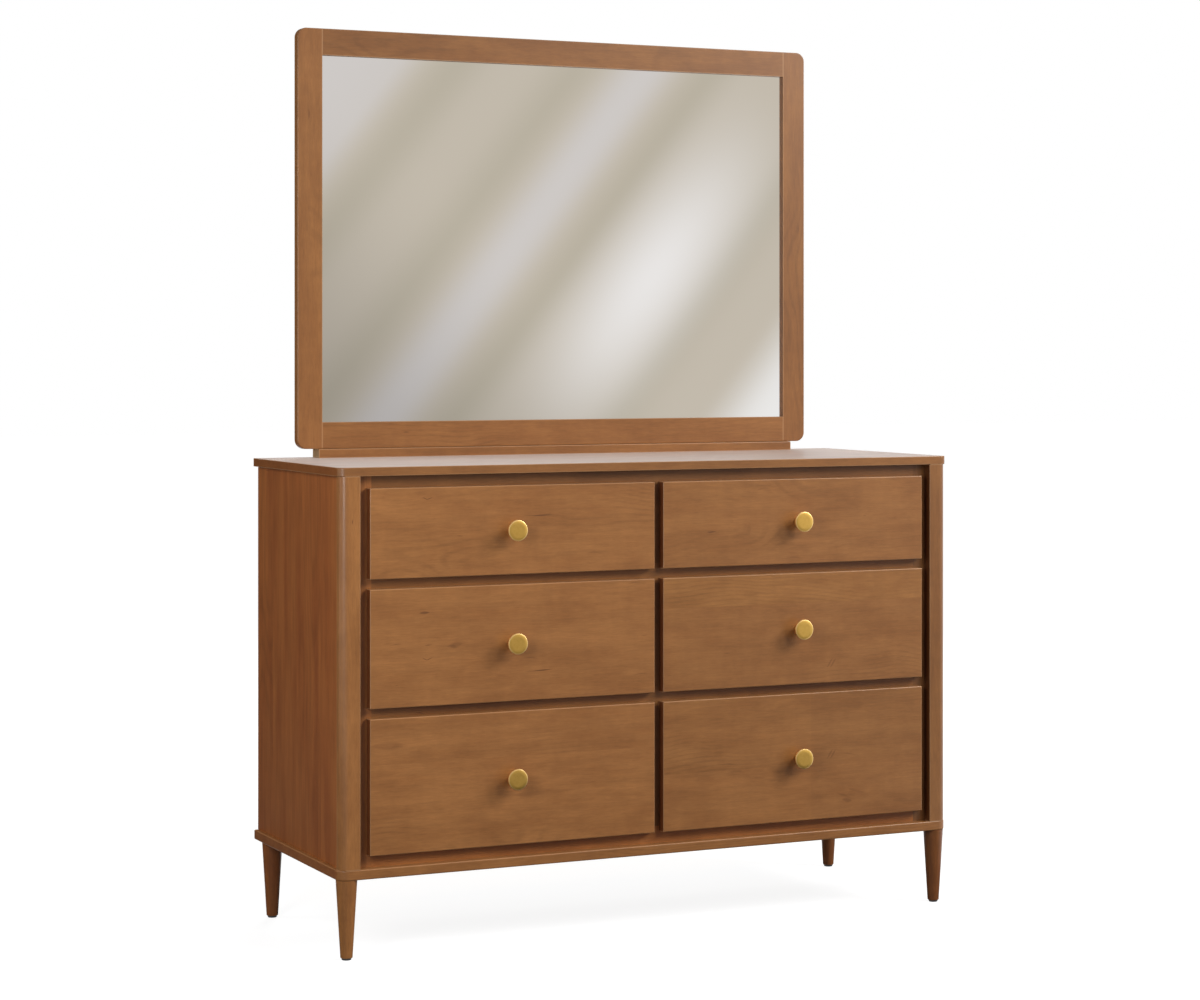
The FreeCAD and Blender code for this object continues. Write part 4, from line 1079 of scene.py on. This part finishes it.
def boarded(name, node, body, seed, pale_and_deep, rough):
    """The node again, with a wood for each of its solids; a thin one is plywood."""
    solids = solids_of(node)
    woods = []
    for number, (points, _) in enumerate(solids):
        lay = lay_of(points)
        if np.ptp(points, axis=0).min() < BOTTOM_THICK:
            woods.append(plywood(f"plywood_{name}", lay, seed + number, node))
        else:
            woods.append(wood(f"{name}_board_{number}", lay, seed + number, *pale_and_deep,
                              streak=CLEAR_STREAK, board=BOX_BOARD, rough=rough))
    points, faces, numbers = gathered(solids)
    return new_piece(name, points, faces, body, woods, numbers, (node,))


for number, label in enumerate(LABELS):
    boarded("drawer_boards_" + label, "drawer_box_" + label, "drawer_" + label,
            BOX_SEED + BOX_SEED_STEP * number, CLEAR, BOX_ROUGH)
boarded("rear_posts_and_rails", "rear_frame", "case", REAR_SEED, POPLAR, PLAIN_ROUGH)
print("drawer boxes", len(LABELS))

# %% [markdown]
# ## Turned and driven parts
#
# A knob is turned on a lathe: a profile is carried round an axis. The tool leaves fine rings that follow
# the profile, so the brass reads a map on the piece itself, with the turn along u and the length of the
# profile, in metres, along v.

# %% Lathe
AXIS_OUT = np.array([[1.0, 0.0, 0.0], [0.0, 0.0, 1.0], [0.0, -1.0, 0.0]])
TURNED_STEPS = 72
HALF_TURN = 0.5


def arc_through(first, via, last, count):
    """Points on the circle through three points, from the first to the last; the first is left out.

    The centre is where the lines that halve the three chords at right angles meet."""
    (ax, ay), (bx, by), (cx, cy) = first, via, last
    twice = 2 * (ax * (by - cy) + bx * (cy - ay) + cx * (ay - by))
    a, b, c = ax * ax + ay * ay, bx * bx + by * by, cx * cx + cy * cy
    centre = np.array([a * (by - cy) + b * (cy - ay) + c * (ay - by),
                       a * (cx - bx) + b * (ax - cx) + c * (bx - ax)]) / twice
    angles = np.unwrap([math.atan2(y - centre[1], x - centre[0]) for x, y in (first, via, last)])
    turn = np.linspace(angles[0], angles[2], count + 1)[1:]
    radius = math.dist(first, centre)
    return np.stack([centre[0] + radius * np.cos(turn), centre[1] + radius * np.sin(turn)], axis=1)


def lathe(profile, spot, frame_axes):
    """A closed turned solid. The profile is (radius, height), its ends are on the axis, and
    point = spot + radius cos(t) side + radius sin(t) other side + height axis."""
    profile = np.asarray(profile)
    turn = np.linspace(0, math.tau, TURNED_STEPS, endpoint=False)
    ring = profile[1:-1]
    local = np.stack([ring[:, :1] * np.cos(turn), ring[:, :1] * np.sin(turn),
                      np.repeat(ring[:, 1:], TURNED_STEPS, axis=1)], axis=-1).reshape(-1, 3)
    poles = np.array([[0.0, 0.0, profile[0, 1]], [0.0, 0.0, profile[-1, 1]]])
    points = np.concatenate([local, poles]) @ frame_axes + np.asarray(spot)
    step = np.arange(TURNED_STEPS)
    after = (step + 1) % TURNED_STEPS
    faces = [[int(a), int(b), len(local)] for a, b in zip(after, step)]
    for row in range(len(ring) - 1):
        low, high = row * TURNED_STEPS, (row + 1) * TURNED_STEPS
        faces += np.stack([low + step, low + after, high + after, high + step], axis=1).tolist()
    last = (len(ring) - 1) * TURNED_STEPS
    faces += [[int(last + a), int(last + b), len(local) + 1] for a, b in zip(step, after)]
    return points, faces


def turned_map(piece, profile):
    """Writes the map: u is the share of the turn, v the length along the profile from its start.

    The last face of each ring runs from a high share back to 0, so there 0 is written as 1."""
    profile = np.asarray(profile)
    length = np.concatenate([[0.0], np.cumsum(np.hypot(*np.diff(profile, axis=0).T))])
    mesh = piece.data
    owner = np.empty(len(mesh.loops), dtype=np.int64)
    mesh.loops.foreach_get("vertex_index", owner)
    starts, counts = (np.empty(len(mesh.polygons), dtype=np.int64) for _ in range(2))
    mesh.polygons.foreach_get("loop_start", starts)
    mesh.polygons.foreach_get("loop_total", counts)
    rings = (len(profile) - 2) * TURNED_STEPS
    turn = (owner % TURNED_STEPS) / TURNED_STEPS
    v = np.where(owner < rings, length[np.clip(owner // TURNED_STEPS + 1, 0, len(profile) - 1)], 0.0)
    v[owner == rings + 1] = length[-1]
    face_of = np.repeat(np.arange(len(starts)), counts)
    on_ring = owner < rings
    highest = np.zeros(len(starts))
    np.maximum.at(highest, face_of[on_ring], turn[on_ring])
    wraps = on_ring & (turn == 0) & (highest[face_of] > HALF_TURN)
    turn[wraps] = 1.0
    turn[~on_ring] = highest[face_of[~on_ring]]
    layer = mesh.uv_layers.new(name="turned")
    layer.data.foreach_set("uv", np.stack([turn, v], axis=1).reshape(-1))


def smooth_with_edges(piece, angle):
    """Smooth shading that keeps edges sharper than the angle."""
    piece.data.shade_smooth()
    piece.data.set_sharp_from_angle(angle=math.radians(angle))


print("turned parts have", TURNED_STEPS, "steps")

# %% [markdown]
# Brass that is brushed on the lathe and then lacquered is never quite even: the rings catch the light in a
# fine sheen, a few are deeper, and the lacquer is a touch browner in places. Round the edge of the face the
# colour is painted paler, as a painted reflection of the bright room that the rounded edge would show.

# %% Satin brass
BRASS_BRIGHT = (0.86, 0.545, 0.135, 1.0)
BRASS_BROWN = (0.80, 0.490, 0.112, 1.0)
BRASS_RIM_PAINTED_REFLECTION = (0.95, 0.665, 0.27, 1.0)
BROWN_FROM, BROWN_TO = 0.3, 0.75
BRASS_ROUGH, RINGS_ROUGHEN, RIM_ROUGHENS = 0.27, 0.14, 0.07
RIM_AT, RIM_REACH, RIM_FULL = 0.0414, 0.0034, 0.4
RING_FINENESS, RING_DEPTH = 3200.0, 0.000012
CLOUD_FINENESS, CLOUD_SCALE = 130.0, 1.3
RING_DETAIL, RING_ROUGHNESS = 3.0, 0.6


def turned_rings():
    """The node group for lathe marks: fine noise that runs round the part, from its own map."""
    group, given, end = new_group(
        "turned_rings", [("Map", "Vector", (0, 0, 0)), ("Fineness", "Float", RING_FINENESS)],
        [("Rings", "Float"), ("Cloud", "Float")])
    turn, length, _ = split(group, given["Map"])
    angle = maths(group, "MULTIPLY", turn, math.tau)
    around_x, around_y = maths(group, "COSINE", angle), maths(group, "SINE", angle)
    fine = joined(group, around_x, around_y, maths(group, "MULTIPLY", length, given["Fineness"]))
    group.links.new(noise(group, fine, 1.0, RING_DETAIL, RING_ROUGHNESS), end.inputs["Rings"])
    wide = joined(group, around_x, around_y, maths(group, "MULTIPLY", length, CLOUD_FINENESS))
    group.links.new(noise(group, wide, CLOUD_SCALE, RING_DETAIL, RING_ROUGHNESS), end.inputs["Cloud"])
    return group


def satin_brass():
    """Brass with lathe marks, and a paler edge round its face, painted as a reflection."""
    material, tree, surface = new_material("satin_brass")
    own_map = place(tree, "ShaderNodeUVMap", uv_map="turned").outputs[0]
    marks = use_group(tree, turned_rings(), {"Map": own_map, "Fineness": RING_FINENESS})
    brown = spread(tree, marks["Cloud"], BROWN_FROM, BROWN_TO)
    # The paler rim is a painted reflection.
    rim = spread(tree, near(tree, split(tree, own_map)[1], RIM_AT, RIM_REACH), 0.0, RIM_FULL)
    colour = colours(tree, rim, colours(tree, brown, BRASS_BRIGHT, BRASS_BROWN), BRASS_RIM_PAINTED_REFLECTION)
    rough = maths(tree, "MULTIPLY_ADD", marks["Rings"], RINGS_ROUGHEN, BRASS_ROUGH)
    rough = maths(tree, "MULTIPLY_ADD", rim, RIM_ROUGHENS, rough)
    finish_with(tree, surface, {"Base Color": colour, "Metallic": 1.0, "Roughness": rough,
                                "Normal": relief(tree, marks["Rings"], RING_DEPTH)})
    return material


BRASS = satin_brass()
print("brass rings", round(1000 / RING_FINENESS, 2), "mm apart")

# %% [markdown]
# The knob is a flat round cap on a waisted stem. Its profile is two arcs, the stem's waist and the belly
# behind the cap, then the straight rim, a rounded edge and the flat face. Each knob stands on its drawer
# front and rides with that drawer.

# %% Knobs
FRONT_FACE = -0.237825
KNOB_ASIDE = {"left": -0.3104, "right": 0.3104}
KNOB_HEIGHT = {"top": 0.7901, "middle": 0.575575, "bottom": 0.318725}
KNOB_CREASE = 40
ARC_STEPS = 14
FOOT = [(0.0, 0.0), (0.0083, 0.0), (0.0085, 0.0002)]
STEM_FOOT, STEM_WAIST, STEM_TOP = (0.0085, 0.0020), (0.0065, 0.0089), (0.0080, 0.0158)
BELLY, RIM_LOW = (0.01541, 0.01853), (0.0200, 0.0223)
RIM_AND_FACE = [(0.0200, 0.0249), (0.01968, 0.02568), (0.0189, 0.0260), (0.012, 0.0260), (0.006, 0.0260),
                (0.0, 0.0260)]
KNOB_PROFILE = np.concatenate([FOOT, [STEM_FOOT], arc_through(STEM_FOOT, STEM_WAIST, STEM_TOP, ARC_STEPS),
                               arc_through(STEM_TOP, BELLY, RIM_LOW, ARC_STEPS), RIM_AND_FACE])

for label in LABELS:
    row, side = label.split("_")
    spot = (KNOB_ASIDE[side], FRONT_FACE, KNOB_HEIGHT[row])
    points, faces = lathe(KNOB_PROFILE, spot, AXIS_OUT)
    knob = new_piece("turned_knob_" + label, points, faces, "drawer_" + label, [BRASS],
                     replaced=("knob_" + label,))
    turned_map(knob, KNOB_PROFILE)
    smooth_with_edges(knob, KNOB_CREASE)
print("knobs", len(LABELS), "with", len(KNOB_PROFILE), "profile points")

# %% [markdown]
# A screw's head has a cross recess. Its top is a square grid bent into a disc, so that the recess can
# follow straight grid lines, and each point sinks where it is inside an arm of the cross. The rim and the
# shank follow as rings under the head. Threads would be hidden in the wood, so there are none.

# %% Screws
GRID_LINES = np.array([-1.0, -0.80, -0.60, -0.54, -0.17, -0.12, 0.12, 0.17, 0.54, 0.60, 0.80, 1.0])
ARM_HALF, ARM_REACH, RECESS_DEPTH = 0.15, 0.57, 0.0013
SHANK_RADIUS = 0.0020
POINT_LENGTH = 0.002
SCREW_CREASE = 35


def screw_shape(head_radius, crown, under, length):
    """A screw along +Z, its head's rim at height 0 and its shank below.

    The grid (u, v) is bent into a disc by x = u sqrt(1 - v v / 2), y = v sqrt(1 - u u / 2). The head's
    height is crown (1 - r r), less the recess. Under is the list of (radius, height) rings from the rim
    down."""
    u, v = np.meshgrid(GRID_LINES, GRID_LINES, indexing="ij")
    x, y = u * np.sqrt(1 - v * v / 2), v * np.sqrt(1 - u * u / 2)
    arm = (np.minimum(abs(u), abs(v)) < ARM_HALF) & (np.maximum(abs(u), abs(v)) < ARM_REACH)
    height = crown * (1 - x * x - y * y) - RECESS_DEPTH * arm
    top = np.stack([x * head_radius, y * head_radius, height], axis=-1).reshape(-1, 3)
    size = len(GRID_LINES)
    number = np.arange(size * size).reshape(size, size)
    faces = np.stack([number[:-1, :-1], number[1:, :-1], number[1:, 1:], number[:-1, 1:]], -1).reshape(-1, 4)
    rim = np.concatenate([number[:-1, 0], number[-1, :-1], number[:0:-1, -1], number[0, :0:-1]])
    way = top[rim, :2] / head_radius
    levels = [*under, (SHANK_RADIUS, POINT_LENGTH - length)]
    rings = [np.concatenate([way * radius, np.full((len(rim), 1), level)], axis=1)
             for radius, level in levels]
    points = np.concatenate([top, *rings, [[0.0, 0.0, -length]]])
    loops = [rim] + [size * size + len(rim) * row + np.arange(len(rim)) for row in range(len(rings))]
    sides = [np.stack([upper, lower, np.roll(lower, -1), np.roll(upper, -1)], axis=1)
             for upper, lower in zip(loops[:-1], loops[1:])]
    tip = [[int(a), len(points) - 1, int(b)] for a, b in zip(loops[-1], np.roll(loops[-1], -1))]
    return points, np.concatenate([faces, *sides]).tolist() + tip


def driven(shape, start, way):
    """The screw's points, with its rim at the start and its shank pointing along the way."""
    points, faces = shape
    down = np.asarray(way, dtype=float)
    side = np.array([1.0, 0.0, 0.0])
    axes = np.stack([side, np.cross(-down, side), -down])
    return points @ axes + np.asarray(start), faces


def screw_starts(solids):
    """Where each screw's head starts, which way it points and how long it is, from its solid.

    The head is at the end of the long side where the points lie furthest from the axis."""
    made = []
    for points, _ in solids:
        low, high = points.min(axis=0), points.max(axis=0)
        axis = int(np.argmax(high - low))
        middle = (low + high) / 2
        aside = np.linalg.norm(np.delete(points - middle, axis, axis=1), axis=1)
        level = points[np.argmax(aside), axis]
        at_low = level < middle[axis]
        start, way = middle.copy(), np.zeros(3)
        start[axis] = low[axis] if at_low else high[axis]
        way[axis] = 1.0 if at_low else -1.0
        made.append((start, way, high[axis] - low[axis]))
    return made


print("a screw's head has", len(GRID_LINES) ** 2, "points")

# %% [markdown]
# Zinc plate is a cool grey, faintly spangled, because each crystal of zinc cools at its own slant. A cell
# pattern gives the crystals, and a noise drawn out along the dresser's depth gives the brush marks.

# %% Zinc plate
ZINC_PALE, ZINC_DARK = (0.70, 0.71, 0.73, 1.0), (0.50, 0.50, 0.50, 1.0)
BRUSH_NOISE, BRUSH_DETAIL, BRUSH_ROUGHNESS = (900.0, 25.0, 900.0), 3.0, 0.6
FLAKE_SCALE = 180.0
ZINC_ROUGH, BRUSH_ROUGHENS, BRUSH_DEPTH = 0.26, 0.18, 0.00001


def zinc_plate():
    """Zinc plate: half its shade comes from its flakes, and half from its brush marks."""
    material, tree, surface = new_material("zinc_plate")
    spot = object_place(tree)
    brushed = noise(tree, vectors(tree, "MULTIPLY", spot, BRUSH_NOISE), 1.0, BRUSH_DETAIL, BRUSH_ROUGHNESS)
    flakes = place(tree, "ShaderNodeTexVoronoi", {"Vector": spot, "Scale": FLAKE_SCALE}).outputs["Color"]
    shade = maths(tree, "MULTIPLY_ADD", split(tree, flakes)[0], 0.5, maths(tree, "MULTIPLY", brushed, 0.5))
    rough = maths(tree, "MULTIPLY_ADD", brushed, BRUSH_ROUGHENS, ZINC_ROUGH)
    finish_with(tree, surface, {"Base Color": colours(tree, shade, ZINC_PALE, ZINC_DARK), "Metallic": 1.0,
                                "Roughness": rough, "Normal": relief(tree, brushed, BRUSH_DEPTH)})
    return material


STEEL = zinc_plate()
print("zinc flakes", round(1000 / FLAKE_SCALE, 1), "mm wide")

# %% [markdown]
# Flat-headed screws hold the case and the mirror, sunk level with the wood. Their places are read from the
# packed screws, so that no place is written twice.

# %% Screws of the case and the mirror
HEAD = 0.0040
FLAT_UNDER = [(HEAD, -0.0003), (SHANK_RADIUS, -0.0026)]


def screws_piece(name, screws, body, replaced):
    """Many screws as one piece."""
    points, faces, start = [], [], 0
    for own_points, own_faces in screws:
        points.append(own_points)
        faces += [[corner + start for corner in face] for face in own_faces]
        start += len(own_points)
    piece = new_piece(name, np.concatenate(points), faces, body, [STEEL], replaced=replaced)
    smooth_with_edges(piece, SCREW_CREASE)


for node in ("case_screws", "mirror_screws"):
    screws = [driven(screw_shape(HEAD, 0.0, FLAT_UNDER, length), start, way)
              for start, way, length in screw_starts(solids_of(node))]
    screws_piece(node.replace("screws", "flat_head_screws"), screws, "case", (node,))
    print(node, len(screws))

# %% [markdown]
# The fittings of a drawer are the slides' inner members, the screws that hold the front to the box, and the
# screw that comes through both into the knob. The members stay as they were packed. The screws are
# pan-headed, because they pull thin boards together and don't sink into them.

# %% Drawer fittings
SLIDE_LENGTH = 0.2
PAN_CROWN = 0.0017
PAN_UNDER = [(HEAD, -0.0009), (SHANK_RADIUS, -0.0009)]


def sorted_fittings(node):
    """The node's solids in two lists: long slide members, and screws."""
    slides, screws = [], []
    for solid in solids_of(node):
        is_long = np.ptp(solid[0], axis=0).max() > SLIDE_LENGTH
        (slides if is_long else screws).append(solid)
    return slides, screws


def pan_screw(start, way, length):
    """A pan-headed screw; its solid starts at the top of its head."""
    shape = screw_shape(HEAD, PAN_CROWN, PAN_UNDER, length - PAN_CROWN)
    return driven(shape, start + way * PAN_CROWN, way)


for label in LABELS:
    slides, screws = sorted_fittings("drawer_fittings_" + label)
    points, faces, _ = gathered(slides)
    new_piece("slide_members_" + label, points, faces, "drawer_" + label, [STEEL],
              replaced=("drawer_fittings_" + label,))
    screw_of_knob = min(solids_of("knob_" + label), key=lambda solid: np.ptp(solid[0][:, 0]))
    heads = [pan_screw(*facts) for facts in screw_starts(screws + [screw_of_knob])]
    screws_piece("pan_head_screws_" + label, heads, "drawer_" + label,
                 ("drawer_fittings_" + label, "knob_" + label))
print("fittings for", len(LABELS), "drawers")

# %% [markdown]
# ## Steel, nylon and glass
#
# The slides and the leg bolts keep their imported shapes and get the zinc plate. The glides are black nylon
# with a faint moulded grain. The glass is silvered: a perfect mirror with the slight green of iron at its
# edges, and wiping has left the faintest haze on it.

# %% Steel, nylon and glass
NYLON_DARK, NYLON_PALE = (0.014, 0.013, 0.013, 1.0), (0.03, 0.028, 0.026, 1.0)
NYLON_GRAIN, NYLON_CLOUDS, NYLON_DEPTH = 1400.0, 90.0, 0.00003
NYLON_ROUGH, NYLON_ROUGHENS = 0.35, 0.2
SILVER, GLASS_EDGE = (0.93, 0.935, 0.92, 1.0), (0.55, 0.66, 0.60, 1.0)
GREEN_REACH = 0.004
WIPED_NOISE, WIPED_DETAIL, WIPED_ROUGHNESS = (3.0, 1.0, 9.0), 5.0, 0.6
HAZE_FROM, HAZE_TO, HAZE = 0.45, 0.8, 0.005


def moulded_nylon():
    """Black nylon with a fine grain."""
    material, tree, surface = new_material("black_nylon")
    grain = noise(tree, object_place(tree), NYLON_GRAIN)
    tint = colours(tree, noise(tree, object_place(tree), NYLON_CLOUDS), NYLON_DARK, NYLON_PALE)
    rough = maths(tree, "MULTIPLY_ADD", grain, NYLON_ROUGHENS, NYLON_ROUGH)
    finish_with(tree, surface, {"Base Color": tint, "Roughness": rough,
                                "Normal": relief(tree, grain, NYLON_DEPTH)})
    return material


def silvered_glass():
    """A mirror; greener within a few millimetres of its edges, and slightly hazed where it was wiped."""
    material, tree, surface = new_material("silvered_glass")
    edge = edge_mask(tree, "mirror_glass", GREEN_REACH)
    strokes = vectors(tree, "MULTIPLY", object_place(tree), WIPED_NOISE)
    wiped = noise(tree, strokes, 1.0, WIPED_DETAIL, WIPED_ROUGHNESS)
    haze = spread(tree, wiped, HAZE_FROM, HAZE_TO, 0.0, HAZE)
    finish_with(tree, surface, {"Base Color": colours(tree, edge, SILVER, GLASS_EDGE), "Metallic": 1.0,
                                "Roughness": haze})
    return material


for node in nodes:
    if node.startswith("slide_middles") or node in ("cabinet_slides", "leg_bolts"):
        dress(node, STEEL)
dress("foot_glides", moulded_nylon())
dress("mirror_glass", silvered_glass())
print("every CAD node has its finish:", all(len(nodes[n].data.materials) == 1 for n in nodes))
